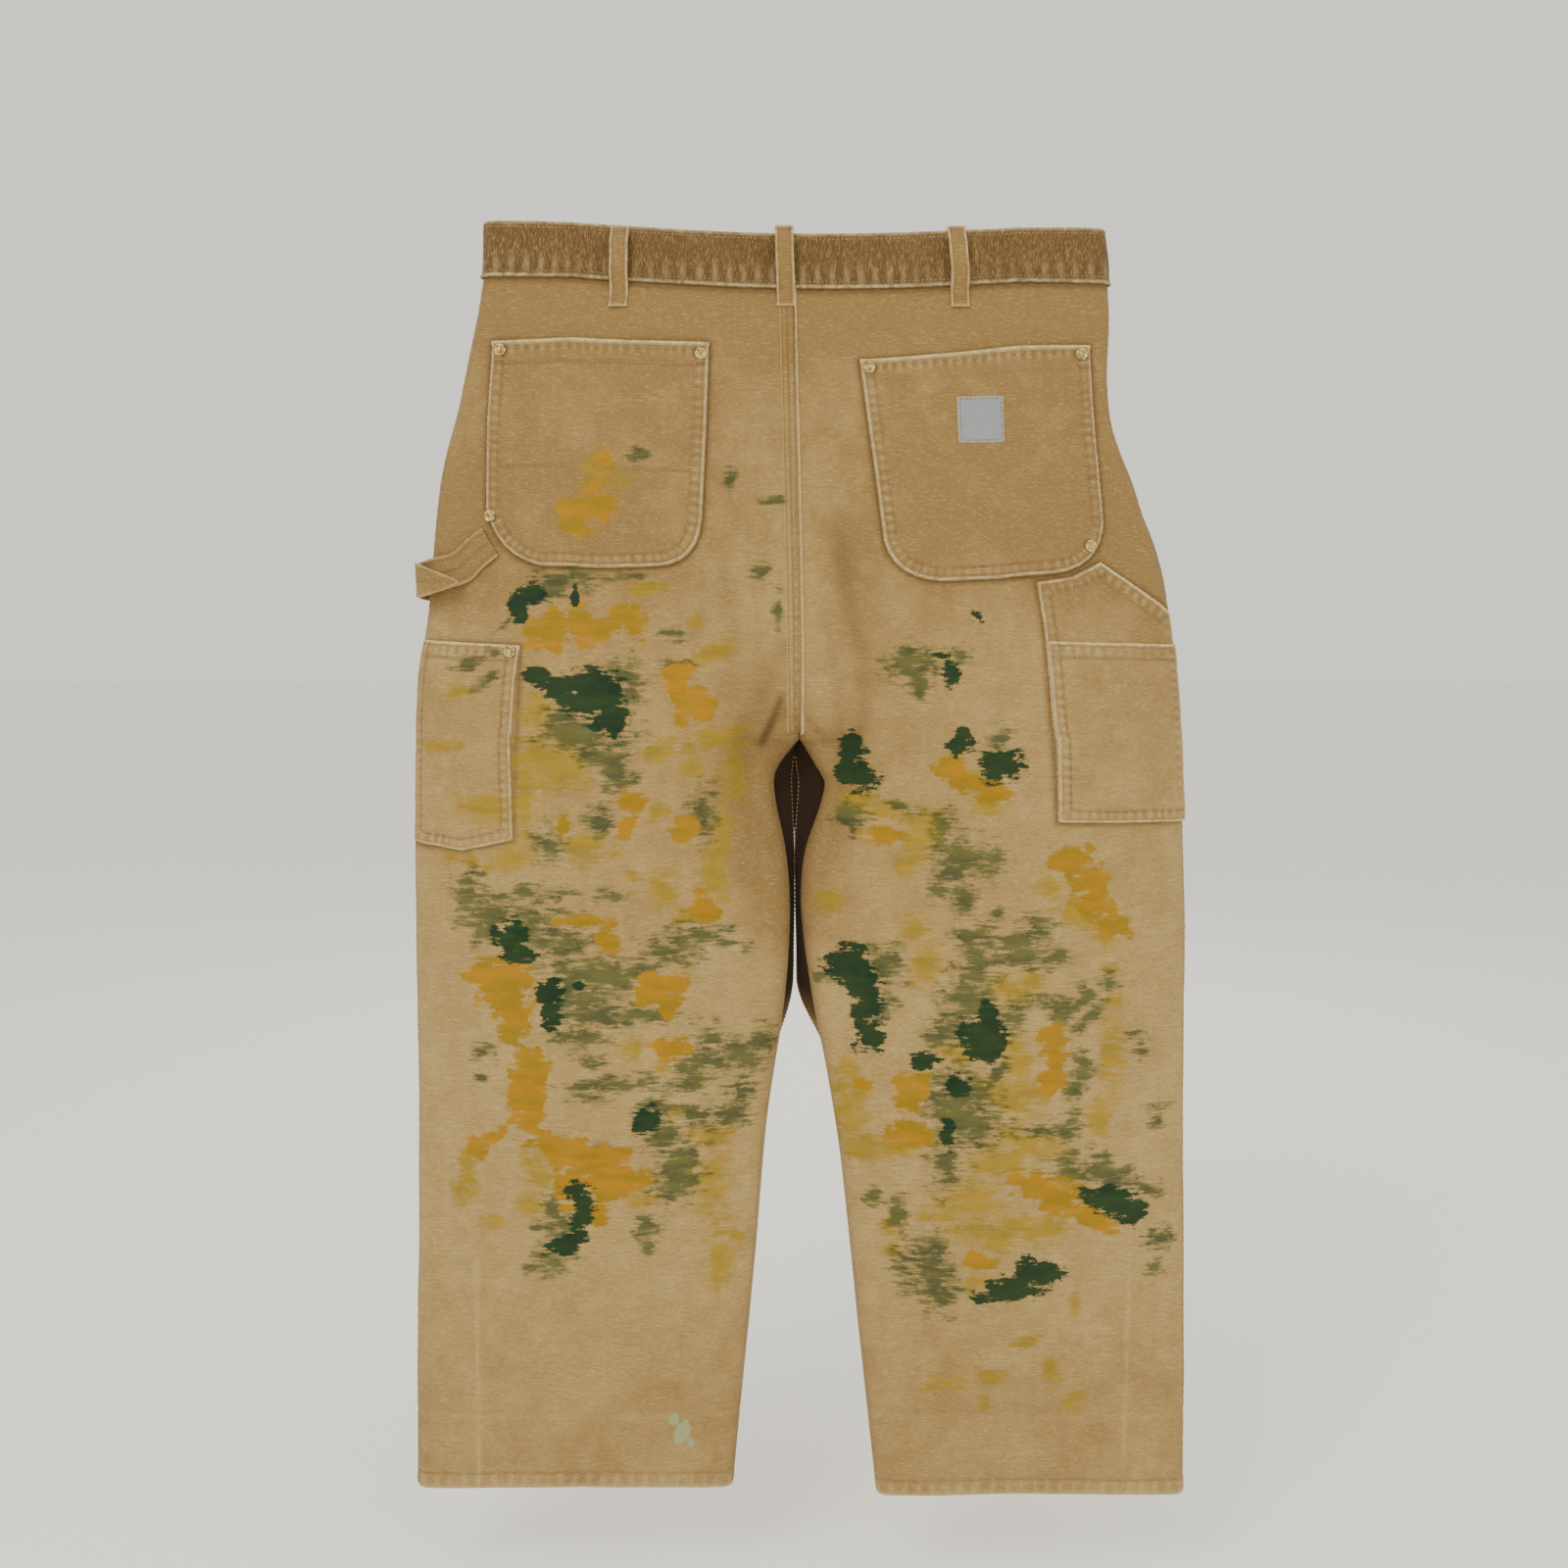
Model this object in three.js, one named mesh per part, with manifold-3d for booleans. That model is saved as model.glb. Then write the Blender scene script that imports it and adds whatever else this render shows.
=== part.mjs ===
// Paint-stained canvas work trousers, zipped and buttoned, hanging flat by the waistband.
// Millimetres. +X is the wearer's right, +Y the wearer's front, +Z up. The origin is on the line
// between the two places where a hanger's clips grip the waistband, at the band's top edge.
import * as THREE from "three";
import { mergeVertices } from "three/addons/utils/BufferGeometryUtils.js";
import Module from "manifold-3d";

const wasm = await Module();
wasm.setup();

// ---------- driving dimensions ----------
const CLOTH = 1.6; // thickness of one layer of canvas as modelled
const AIR = 0.4; // gap between layers that touch
const LAYER = CLOTH + AIR;
const BAND_HEIGHT = 41;
const CROTCH_Z = -387;
const RISE_BEND = 85; // height over which the rise seam curves under to the crotch
const SEAM_GAP = 0.35; // half the gap between the left and right halves
const SIDE_GAP = 0.0012; // gap between front and back panels, as a share of the panel's width
const WAIST_TILT = -0.012; // the band hangs a little lower on the wearer's right
const WAIST_SAG = 8; // the band dips this much between the clips
const CLIP_X = 169; // clips grip here, left and right
const CLIP_PINCH = 0.36; // share of the depth the clips squeeze away
const LEG_LENGTH = 1000;
const HEM_RISE = 5; // the middle of each hem hangs this much higher than its ends

// Distances are from x = 0, listed against height z.
const LEFT = {
  sign: -1,
  hem: -993,
  outer: [
    [0, 235], [-42, 236], [-130, 256], [-190, 271], [-290, 281], [-350, 290], [-475, 295], [-720, 298], [-993, 303],
  ],
  inner: [
    [-387, -3], [-405, 11], [-420, 16], [-475, 6], [-520, 3], [-590, 7], [-690, 21], [-825, 33], [-993, 49],
  ],
};
const RIGHT = {
  sign: 1,
  hem: -999,
  outer: [
    [0, 235], [-60, 240], [-140, 243], [-195, 262], [-265, 285], [-350, 296], [-475, 304], [-720, 309], [-999, 315],
  ],
  inner: [
    [-387, 5], [-405, 16], [-422, 24], [-475, 8], [-520, 5],
    [-590, 14], [-650, 26], [-720, 37], [-865, 52], [-999, 67],
  ],
};
const HALF_DEPTH = [
  [0, 14], [-42, 15], [-100, 24], [-190, 36], [-290, 42], [-387, 44], [-475, 42], [-600, 36], [-800, 27], [-1000, 18],
];
const EDGE_RADIUS = [[0, 9], [-42, 9.5], [-190, 14], [-387, 20], [-475, 20], [-700, 16], [-1000, 11]];
const BACK_SEAM_X = [[0, -4], [-70, -2], [-290, 3], [-387, 4]];
const FRONT_SEAM_X = [[0, 6], [-190, 6], [-290, 4], [-387, 4]];

// ---------- the hanging surface ----------
// A smooth curve through [height, value] pairs, held level past its ends.
function curve(points) {
  const p = [...points].sort((a, b) => a[0] - b[0]);
  const slope = p.map((q, i) => {
    const a = p[Math.max(i - 1, 0)];
    const b = p[Math.min(i + 1, p.length - 1)];
    return (b[1] - a[1]) / (b[0] - a[0]);
  });
  return (z) => {
    if (z <= p[0][0]) return p[0][1];
    if (z >= p[p.length - 1][0]) return p[p.length - 1][1];
    let i = 0;
    while (z > p[i + 1][0]) i++;
    const h = p[i + 1][0] - p[i][0];
    const t = (z - p[i][0]) / h;
    const smooth = t * t * (3 - 2 * t);
    return (
      p[i][1] * (1 - smooth) +
      p[i + 1][1] * smooth +
      h * t * (1 - t) * ((1 - t) * slope[i] - t * slope[i + 1])
    );
  };
}
const halfDepth = curve(HALF_DEPTH);
const edgeRadius = curve(EDGE_RADIUS);
const backSeamX = curve(BACK_SEAM_X);
const frontSeamX = curve(FRONT_SEAM_X);
for (const half of [LEFT, RIGHT]) {
  half.outerAt = curve(half.outer);
  half.innerAt = curve(half.inner);
}

// Half a pillow section, from its middle (or its other edge, if closed) round to the outer edge:
// [distance from x = 0, depth] pairs, evenly spaced along the cloth.
const SECTION_STEPS = 48;
function pillow(near, far, radius, depth, closed) {
  const raw = [];
  const arc = 10;
  const crown = 30;
  const middle = closed ? (near + far) / 2 : near;
  const flat = far - radius - middle;
  const rise = (x) => {
    const t = Math.min(1, Math.abs(x - middle) / flat);
    return radius + (depth - radius) * (1 - t ** 2.6);
  };
  if (closed)
    for (let i = 0; i < arc; i++) {
      const a = (i / arc) * (Math.PI / 2);
      raw.push([near + radius * (1 - Math.cos(a)), radius * Math.sin(a)]);
    }
  const start = closed ? near + radius : near;
  for (let i = 0; i <= crown; i++) {
    const x = start + ((far - radius - start) * i) / crown;
    raw.push([x, rise(x)]);
  }
  for (let i = 1; i <= arc; i++) {
    const a = (i / arc) * (Math.PI / 2);
    raw.push([far - radius * (1 - Math.sin(a)), radius * Math.cos(a)]);
  }
  const along = [0];
  for (let i = 1; i < raw.length; i++)
    along.push(along[i - 1] + Math.hypot(raw[i][0] - raw[i - 1][0], raw[i][1] - raw[i - 1][1]));
  const even = [];
  for (let k = 0, i = 0; k <= SECTION_STEPS; k++) {
    const s = (along[along.length - 1] * k) / SECTION_STEPS;
    while (i < along.length - 2 && along[i + 1] < s) i++;
    const t = (s - along[i]) / (along[i + 1] - along[i]);
    even.push([raw[i][0] + t * (raw[i + 1][0] - raw[i][0]), raw[i][1] + t * (raw[i + 1][1] - raw[i][1])]);
  }
  return even;
}

// The section of one half at height z: back from the centre seam to the side, then front back again.
const cache = new Map();
function section(half, z) {
  const key = half.sign + ":" + z.toFixed(3);
  if (cache.has(key)) return cache.get(key);
  const outer = half.outerAt(z);
  const depth = halfDepth(z);
  const radius = edgeRadius(z);
  const above = Math.min(1, Math.max(0, (z - CROTCH_Z) / RISE_BEND));
  const leg = 1 - Math.sqrt(1 - (1 - above) ** 2); // 0 in the seat, 1 from the crotch down
  const side = (frontSide) => {
    const seam = half.sign * (frontSide ? frontSeamX(z) : backSeamX(z)) + SEAM_GAP;
    const inner = z > CROTCH_Z ? seam : half.innerAt(z) + SEAM_GAP;
    const seat = pillow(seam, outer, radius, depth, false);
    const tube = pillow(inner, outer, radius, depth, true);
    return seat.map(([x, y], i) => [
      half.sign * (x * (1 - leg) + tube[i][0] * leg),
      (frontSide ? 1 : -1) * (y * (1 - leg) + tube[i][1] * leg),
    ]);
  };
  const made = [...side(false), ...side(true).reverse().slice(1)];
  cache.set(key, made);
  return made;
}

// How far the hanging band and hem move a point of the section up or down.
function drop(x, u, z) {
  const fade = 1 + z / LEG_LENGTH;
  const dip = WAIST_SAG * Math.max(0, 1 - (x / CLIP_X) ** 2);
  const low = Math.min(1, Math.max(0, (-z - 880) / 100));
  return fade * (WAIST_TILT * x - dip) + HEM_RISE * low * low * Math.abs(Math.sin(2 * Math.PI * u));
}
// A point of the smooth cloth: u runs 0 (back, centre) - 0.5 (side seam) - 1 (front, centre).
function smooth(half, u, z) {
  const s = section(half, z);
  const k = Math.min(Math.max(u, 0), 1) * (s.length - 1);
  const i = Math.min(Math.floor(k), s.length - 2);
  const x = s[i][0] + (k - i) * (s[i + 1][0] - s[i][0]);
  const y = s[i][1] + (k - i) * (s[i + 1][1] - s[i][1]);
  const near = Math.exp(-(((Math.abs(x) - CLIP_X) / 28) ** 2) - (z / 55) ** 2);
  return new THREE.Vector3(x, y * (1 - CLIP_PINCH * near), z + drop(x, u, z));
}
function outward(half, u, z) {
  const step = 0.006;
  const closed = z < CROTCH_Z; // a leg goes all the way round
  const before = closed ? (u - step + 1) % 1 : Math.max(u - step, 0);
  const after = closed ? (u + step) % 1 : Math.min(u + step, 1);
  const across = smooth(half, after, z).sub(smooth(half, before, z));
  const down = smooth(half, u, z - 2).sub(smooth(half, u, z + 2));
  return across.cross(down).multiplyScalar(-half.sign).normalize();
}

// Every piece is laid on one coarse net of the cloth, so that layers stay parallel.
const ACROSS = [0, 0.035, 0.09, 0.2, 0.36, 0.52, 0.66, 0.79, 0.89, 0.96, 1]; // share of a panel's width
const RISE_LEVELS = [0, -41, -70, -105, -145, -190, -240, -290, -325, -350, -366, -377, -384, -386.6];
const LEG_LEVELS = [-389, -396, -410, -430, -475, -530, -600, -720, -850];
for (const half of [LEFT, RIGHT]) {
  half.levels = [...RISE_LEVELS, ...LEG_LEVELS, half.hem];
  half.stations = [...ACROSS.map((t) => t / 2), ...ACROSS.map((t) => 1 - t / 2).reverse().slice(1)];
  half.net = half.levels.map((z) => half.stations.map((u) => [smooth(half, u, z), outward(half, u, z)]));
}
function place(list, value) {
  const falling = list[0] > list[1];
  let i = 0;
  while (i < list.length - 2 && (falling ? value < list[i + 1] : value > list[i + 1])) i++;
  return [i, (value - list[i]) / (list[i + 1] - list[i])];
}
// The point of the net at u and level z, moved out by offset.
function cloth(half, u, z, offset) {
  const [r, s] = place(half.levels, z);
  const [c, t] = place(half.stations, u);
  const point = new THREE.Vector3();
  const corners = [
    [r, c, (1 - s) * (1 - t)],
    [r, c + 1, (1 - s) * t],
    [r + 1, c, s * (1 - t)],
    [r + 1, c + 1, s * t],
  ];
  for (const [row, column, share] of corners) {
    const [p, n] = half.net[row][column];
    point.addScaledVector(p, share).addScaledVector(n, share * offset);
  }
  return point;
}
// u and level of the cloth that hangs at a given x and height, on the back or the front.
function locate(x, height, frontSide) {
  const half = x < (frontSide ? frontSeamX(height) : backSeamX(height)) ? LEFT : RIGHT;
  let level = height;
  let u = 0;
  for (let pass = 0; pass < 6; pass++) {
    let lo = frontSide ? 1 : 0;
    let hi = 0.5;
    for (let i = 0; i < 24; i++) {
      u = (lo + hi) / 2;
      if (half.sign * (cloth(half, u, level, 0).x - x) < 0) lo = u;
      else hi = u;
    }
    level += height - cloth(half, u, level, 0).z;
  }
  return [half, u, level];
}
function pointAt(x, height, frontSide, offset) {
  return cloth(...locate(x, height, frontSide), offset);
}
function normalAt(x, height, frontSide) {
  return pointAt(x, height, frontSide, 1).sub(pointAt(x, height, frontSide, 0)).normalize();
}

// ---------- solids ----------
// A closed sheet through a grid of points: outerFace(row, column) and innerFace(row, column).
function sheet(rows, columns, outerFace, innerFace) {
  const position = [];
  const index = [];
  for (const face of [outerFace, innerFace])
    for (let r = 0; r < rows; r++) for (let c = 0; c < columns; c++) position.push(...face(r, c).toArray());
  const back = rows * columns;
  const quad = (a, b, c, d) => index.push(a, b, c, a, c, d);
  for (let r = 0; r + 1 < rows; r++)
    for (let c = 0; c + 1 < columns; c++) {
      const a = r * columns + c;
      quad(a, a + columns, a + columns + 1, a + 1);
      quad(back + a, back + a + 1, back + a + columns + 1, back + a + columns);
    }
  const rim = [];
  for (let c = 0; c + 1 < columns; c++) rim.push(c);
  for (let r = 0; r + 1 < rows; r++) rim.push(r * columns + columns - 1);
  for (let c = columns - 1; c > 0; c--) rim.push((rows - 1) * columns + c);
  for (let r = rows - 1; r > 0; r--) rim.push(r * columns);
  rim.forEach((a, i) => {
    const b = rim[(i + 1) % rim.length];
    quad(a, b, back + b, back + a);
  });
  const made = new THREE.BufferGeometry();
  made.setAttribute("position", new THREE.Float32BufferAttribute(position, 3));
  made.setIndex(index);
  return facingOut(made);
}
function volume(geometry) {
  const p = geometry.getAttribute("position");
  const i = geometry.index.array;
  const [a, b, c] = [0, 1, 2].map(() => new THREE.Vector3());
  let sum = 0;
  for (let k = 0; k < i.length; k += 3) {
    [a, b, c].forEach((v, j) => v.fromBufferAttribute(p, i[k + j]));
    sum += a.dot(b.cross(c));
  }
  return sum;
}
function facingOut(geometry) {
  if (volume(geometry) < 0) {
    const i = geometry.index.array;
    for (let k = 0; k < i.length; k += 3) [i[k + 1], i[k + 2]] = [i[k + 2], i[k + 1]];
  }
  return geometry;
}
function solid(geometry) {
  const bare = geometry.clone();
  bare.deleteAttribute("normal");
  bare.deleteAttribute("uv");
  const merged = mergeVertices(bare, 1e-4);
  return new wasm.Manifold(
    new wasm.Mesh({
      numProp: 3,
      vertProperties: merged.getAttribute("position").array,
      triVerts: new Uint32Array(merged.index.array),
    }),
  );
}
function geometryOf(made) {
  const mesh = made.getMesh();
  return new THREE.BufferGeometry()
    .setAttribute("position", new THREE.BufferAttribute(mesh.vertProperties, 3))
    .setIndex(new THREE.BufferAttribute(mesh.triVerts, 1));
}
function boxAt(x0, x1, y0, y1, z0, z1) {
  const made = new THREE.BoxGeometry(x1 - x0, y1 - y0, z1 - z0);
  return made.translate((x0 + x1) / 2, (y0 + y1) / 2, (z0 + z1) / 2);
}
const united = (parts) => geometryOf(parts.map(solid).reduce((a, b) => a.add(b)));
const cut = (body, tools) => geometryOf(tools.map(solid).reduce((a, b) => a.subtract(b), solid(body)));
const common = (a, b) => geometryOf(solid(a).intersect(solid(b)));

// Rings of points joined into one closed body, with flat ends.
function loft(rings, endTriangles) {
  const size = rings[0].length;
  const position = rings.flat().flatMap((p) => p.toArray());
  const index = [];
  for (let r = 0; r + 1 < rings.length; r++)
    for (let i = 0; i < size; i++) {
      const a = r * size + i;
      const b = r * size + ((i + 1) % size);
      index.push(a, b, b + size, a, b + size, a + size);
    }
  const last = (rings.length - 1) * size;
  for (const [a, b, c] of endTriangles) index.push(a, c, b, last + a, last + b, last + c);
  const made = new THREE.BufferGeometry();
  made.setAttribute("position", new THREE.Float32BufferAttribute(position, 3));
  made.setIndex(index);
  return facingOut(made);
}
// A turned body on the z axis from [radius, z] pairs.
const turned = (profile, sides) =>
  new THREE.LatheGeometry(profile.map(([r, z]) => new THREE.Vector2(r, z)), sides).rotateX(Math.PI / 2);
// Stand a body made on the z axis at a point, its z along a direction.
function stand(geometry, at, direction) {
  const turn = new THREE.Quaternion().setFromUnitVectors(new THREE.Vector3(0, 0, 1), direction);
  return geometry.applyMatrix4(new THREE.Matrix4().compose(at, turn, new THREE.Vector3(1, 1, 1)));
}
function rod(radius, z0, z1, sides) {
  const made = new THREE.CylinderGeometry(radius, radius, z1 - z0, sides);
  return made.rotateX(Math.PI / 2).translate(0, 0, (z0 + z1) / 2);
}
// A block through the back (y < 0) or front (y > 0) of the garment, with an outline in x and z.
const REACH = 90;
function block(outline, frontSide) {
  const shape = new THREE.Shape(outline.map(([x, z]) => new THREE.Vector2(x, z)));
  const made = new THREE.ExtrudeGeometry(shape, { depth: REACH, bevelEnabled: false });
  return made.rotateX(Math.PI / 2).translate(0, frontSide ? REACH : 0, 0);
}
// A rounded corner: points from a to b, bulging towards c.
function bend(a, c, b, steps) {
  const ends = [a, c, b].map((p) => new THREE.Vector2(...p));
  return new THREE.QuadraticBezierCurve(...ends).getPoints(steps).map((p) => [p.x, p.y]);
}

// ---------- materials ----------
function look(color, roughness, metalness = 0) {
  return new THREE.MeshStandardMaterial({ color, roughness, metalness });
}
const CANVAS = look(0xa58c62, 0.95);
const BAND_CANVAS = look(0x856848, 0.95);
const LINING = look(0xc9bda2, 0.95);
const LABEL = look(0x8f9296, 0.9);
const BRASS = look(0x9a8350, 0.4, 1);
const ZIP_TAPE = look(0x7b6343, 0.95);

const garment = new THREE.Group();
function piece(name, geometry, material) {
  const mesh = new THREE.Mesh(geometry, material.clone());
  mesh.name = name;
  garment.add(mesh);
}

// ---------- layers of canvas ----------
// A sheet over one panel between two levels, lying a whole number of layers out from the panel.
function layer(half, frontSide, levels, columns, number) {
  const u = columns.map((t) => (frontSide ? 1 - t / 2 : t / 2));
  const out = number * LAYER;
  return sheet(
    levels.length,
    columns.length,
    (r, c) => cloth(half, u[c], levels[r], out),
    (r, c) => cloth(half, u[c], levels[r], out - CLOTH),
  );
}
// The net's own levels between two heights, with the two heights as ends.
const between = (half, top, bottom) => [top, ...half.levels.filter((z) => z < top && z > bottom), bottom];
const WHOLE = [SIDE_GAP, ...ACROSS.slice(1, -1), 1 - SIDE_GAP];
const PANEL_TOP = -32; // tucked inside the waistband
const under = -BAND_HEIGHT - 1; // just below the waistband
// A patch of the given outline, cut from a layer.
function patch(half, frontSide, number, outline, columns = WHOLE) {
  const heights = outline.map((p) => p[1]);
  const top = Math.min(under, Math.max(...heights) + 20);
  const sheetLayer = layer(half, frontSide, between(half, top, Math.min(...heights) - 20), columns, number);
  return common(sheetLayer, block(outline, frontSide));
}

// ---------- rivets ----------
const RIVET_RADIUS = 4.6;
const RIVET_SHANK = 1.3;
// Where each rivet sits, and how many layers lie on or under the panel there.
const rivets = [
  ["rivet_back_left_inner_top", -70, -100, false, 2, 0],
  ["rivet_back_left_outer_top", -222.5, -95, false, 2, 0],
  ["rivet_back_left_outer_bottom", -230, -220, false, 2, 0],
  ["rivet_back_right_inner_top", 56.5, -110, false, 2, 0],
  ["rivet_back_right_outer_top", 217, -98, false, 2, 0],
  ["rivet_back_right_outer_bottom", 224, -243, false, 2, 0],
  ["rivet_tool_pocket_left", -216, -323, false, 1, 0],
  ["rivet_front_left_top", -120, -54, true, 0, 2],
  ["rivet_front_right_top", 120, -54, true, 0, 2],
];
function rivetHole(row) {
  const [, x, z, frontSide] = row;
  return stand(rod(RIVET_SHANK + 0.3, -12, 12, 8), pointAt(x, z, frontSide, 0), normalAt(x, z, frontSide));
}
function rivet([, x, z, frontSide, over, behind]) {
  const top = over * LAYER + 0.25;
  const bottom = -CLOTH - behind * LAYER - 0.45;
  const cap = [
    [0, bottom - 1.0],
    [3.7, bottom - 0.8],
    [3.9, bottom],
    [RIVET_SHANK, bottom],
    [RIVET_SHANK, top],
    [RIVET_RADIUS - 0.3, top],
    [RIVET_RADIUS, top + 0.9],
    [3.3, top + 1.6],
    [2.0, top + 1.0],
    [1.5, top + 1.9],
    [0, top + 2.0],
  ];
  return stand(turned(cap, 12), pointAt(x, z, frontSide, 0), normalAt(x, z, frontSide));
}
const holes = (test) => rivets.filter(test).map(rivetHole);

// ---------- back pockets ----------
const BACK_POCKET_LEFT = [
  [-229, -88],
  [-64, -91],
  [-66, -160],
  ...bend([-69, -224], [-72, -258], [-104, -259], 5),
  [-150, -260],
  ...bend([-192, -258], [-226, -250], [-234, -214], 5),
  [-233, -150],
];
const BACK_POCKET_RIGHT = [
  [49, -104],
  [224, -91],
  [229, -160],
  ...bend([235, -226], [232, -260], [196, -264], 5),
  [155, -268],
  ...bend([110, -270], [74, -268], [67, -240], 5),
  [55, -150],
];
const LINING_TOP = -185; // the lower part of each back pocket is doubled
const lined = (outline) => {
  const x = outline.map((p) => p[0]);
  const inset = 1.5;
  const low = outline.filter((p) => p[1] < LINING_TOP - 8);
  const middle = (Math.min(...x) + Math.max(...x)) / 2;
  const pulled = low.map(([px, pz]) => [px + (px < middle ? inset : -inset), pz + inset]);
  const ends = [pulled[0], pulled[pulled.length - 1]];
  return [...pulled, [ends[1][0], LINING_TOP], [ends[0][0], LINING_TOP]];
};
const isOn = (part) => (row) => row[0].includes(part);
piece("back_pocket_left", cut(patch(LEFT, false, 2, BACK_POCKET_LEFT), holes(isOn("back_left"))), CANVAS);
piece("back_pocket_right", cut(patch(RIGHT, false, 2, BACK_POCKET_RIGHT), holes(isOn("back_right"))), CANVAS);
piece(
  "pocket_lining_left",
  cut(patch(LEFT, false, 1, lined(BACK_POCKET_LEFT)), holes(isOn("back_left_outer_bottom"))),
  LINING,
);
piece(
  "pocket_lining_right",
  cut(patch(RIGHT, false, 1, lined(BACK_POCKET_RIGHT)), holes(isOn("back_right_outer_bottom"))),
  LINING,
);
piece("label_patch", patch(RIGHT, false, 3, [[122, -132], [157, -131], [158, -166], [123, -167]]), LABEL);

// ---------- tool pockets ----------
const TOOL_POCKET_LEFT = [
  [-282, -316],
  [-208, -318],
  [-214, -466],
  [-255, -475],
  [-290, -471],
];
const UTILITY_POCKET_RIGHT = [
  [183, -270],
  [210, -266],
  [232, -255],
  [281, -290],
  [297, -452],
  [200, -452],
  [190, -314],
];
const TOOL_POCKET_RIGHT = [
  [191, -315],
  [287, -315],
  [297, -452],
  [200.4, -452],
];
const POCKET_COLUMNS = ACROSS.slice(0, -1); // stops short of the side seam
piece(
  "tool_pocket_left",
  cut(patch(LEFT, false, 1, TOOL_POCKET_LEFT, POCKET_COLUMNS), holes(isOn("tool_pocket"))),
  CANVAS,
);
piece("utility_pocket_right", patch(RIGHT, false, 1, UTILITY_POCKET_RIGHT, POCKET_COLUMNS), CANVAS);
piece("tool_pocket_right", patch(RIGHT, false, 2, TOOL_POCKET_RIGHT, POCKET_COLUMNS), CANVAS);

// ---------- front pockets ----------
// Each opens along a scoop cut from the top outer corner of the front panel.
const SCOOP_X = 130; // inner end of the opening, below the waistband
const SCOOP_Z = -132; // lower end of the opening, at the side seam
const scoop = (half) => {
  const side = half.outerAt(SCOOP_Z);
  const edge = bend([SCOOP_X, under], [SCOOP_X + 14, SCOOP_Z + 12], [side - 4, SCOOP_Z], 7);
  const ring = [[SCOOP_X, 20], ...edge, [side + 40, SCOOP_Z], [side + 40, 20]];
  return block(ring.map(([x, z]) => [half.sign * x, z]), true);
};
// Open the front panel below the waistband only.
const openScoop = (half, body) => {
  const below = boxAt(-400, 400, 0, REACH, SCOOP_Z - 40, under - 4);
  return geometryOf(solid(body).subtract(solid(scoop(half)).intersect(solid(below))));
};
function facing(half) {
  const outline = [[SCOOP_X - 24, 10], [SCOOP_X - 10, SCOOP_Z - 8], [half.outerAt(-170) + 40, -172]];
  const ring = [...outline, [half.outerAt(-170) + 40, 10]].map(([x, z]) => [half.sign * x, z]);
  return patch(half, true, -1, ring);
}
const BAG_COLUMNS = ACROSS.slice(0, -2);
function bag(half) {
  const side = half.outerAt(-190);
  const low = [
    ...bend([112, -230], [114, -292], [165, -294], 5),
    ...bend([205, -294], [side - 12, -288], [side - 12, -225], 5),
  ];
  const ring = [[98, 10], ...low, [side - 12, 10]].map(([x, z]) => [half.sign * x, z]);
  return patch(half, true, -2, ring, BAG_COLUMNS);
}

// ---------- leg panels ----------
for (const [half, side] of [[LEFT, "left"], [RIGHT, "right"]]) {
  const levels = between(half, PANEL_TOP, half.hem);
  const tools = side === "left" ? isOn("tool_pocket") : () => false;
  const backHoles = holes((row) => row[0].includes("back_" + side) || tools(row));
  const frontHoles = holes(isOn("front_" + side));
  piece("back_panel_" + side, cut(layer(half, false, levels, WHOLE, 0), backHoles), CANVAS);
  piece("front_panel_" + side, cut(openScoop(half, layer(half, true, levels, WHOLE, 0)), frontHoles), CANVAS);
  piece("pocket_facing_" + side, cut(facing(half), frontHoles), CANVAS);
  piece("pocket_bag_" + side, cut(bag(half), frontHoles), LINING);
}

// ---------- waistband ----------
// One strip folded over the top of the panels, from the button end round the back to the buttonhole end.
const BUTTON_X = 0;
const BUTTON_Z = -30;
const BAND_END = 17; // the buttonhole end laps this far past the front seam
function waistband() {
  const fold = [
    [AIR, -BAND_HEIGHT],
    [LAYER, -BAND_HEIGHT],
    [LAYER, -1.5],
    [LAYER - 1.5, 0],
    [1.5 - CLOTH - LAYER, 0],
    [-CLOTH - LAYER, -1.5],
    [-CLOTH - LAYER, -BAND_HEIGHT],
    [-LAYER, -BAND_HEIGHT],
    [-LAYER, -CLOTH - 4],
    [AIR, -CLOTH - 4],
  ];
  const stations = [
    [RIGHT, locate(BAND_END + 0.8, -20, true)[1]],
    ...[...RIGHT.stations].reverse().filter((u) => u < 0.97 && u > 0).map((u) => [RIGHT, u]),
    ...LEFT.stations.filter((u) => u > 0 && u < 0.99).map((u) => [LEFT, u]),
    [RIGHT, 0.9999],
    [RIGHT, locate(BAND_END, -20, true)[1]],
  ];
  const rings = stations.map(([half, u]) => fold.map(([out, z]) => cloth(half, u, z, out)));
  const flat = fold.map(([x, y]) => new THREE.Vector2(x, y));
  return loft(rings, THREE.ShapeUtils.triangulateShape(flat, []));
}
const buttonAt = pointAt(BUTTON_X, BUTTON_Z, true, 0);
const buttonOut = normalAt(BUTTON_X, BUTTON_Z, true);
const buttonHole = stand(rod(3.1, -9, 9, 12), buttonAt.clone(), buttonOut);
piece("waistband", cut(waistband(), [buttonHole]), BAND_CANVAS);

// ---------- fly and zip ----------
const ZIP_X = -4; // the zip lies under the left front, beside the front seam
const ZIP_TOP = -58;
const ZIP_BOTTOM = -200;
const ZIP_DEPTH = 9.4; // below the outer face of the left front
const TEETH_LENGTH = 132;
const TOOTH_PITCH = 6;
function facingBody(outline, number) {
  return patch(LEFT, true, number, outline, [0.001, ...ACROSS.slice(1, 5)]);
}
piece("fly_facing", facingBody([[3, 10], [3, -206], [-14, -204], [-40, -178], [-42, 10]], -1), CANVAS);

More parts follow.
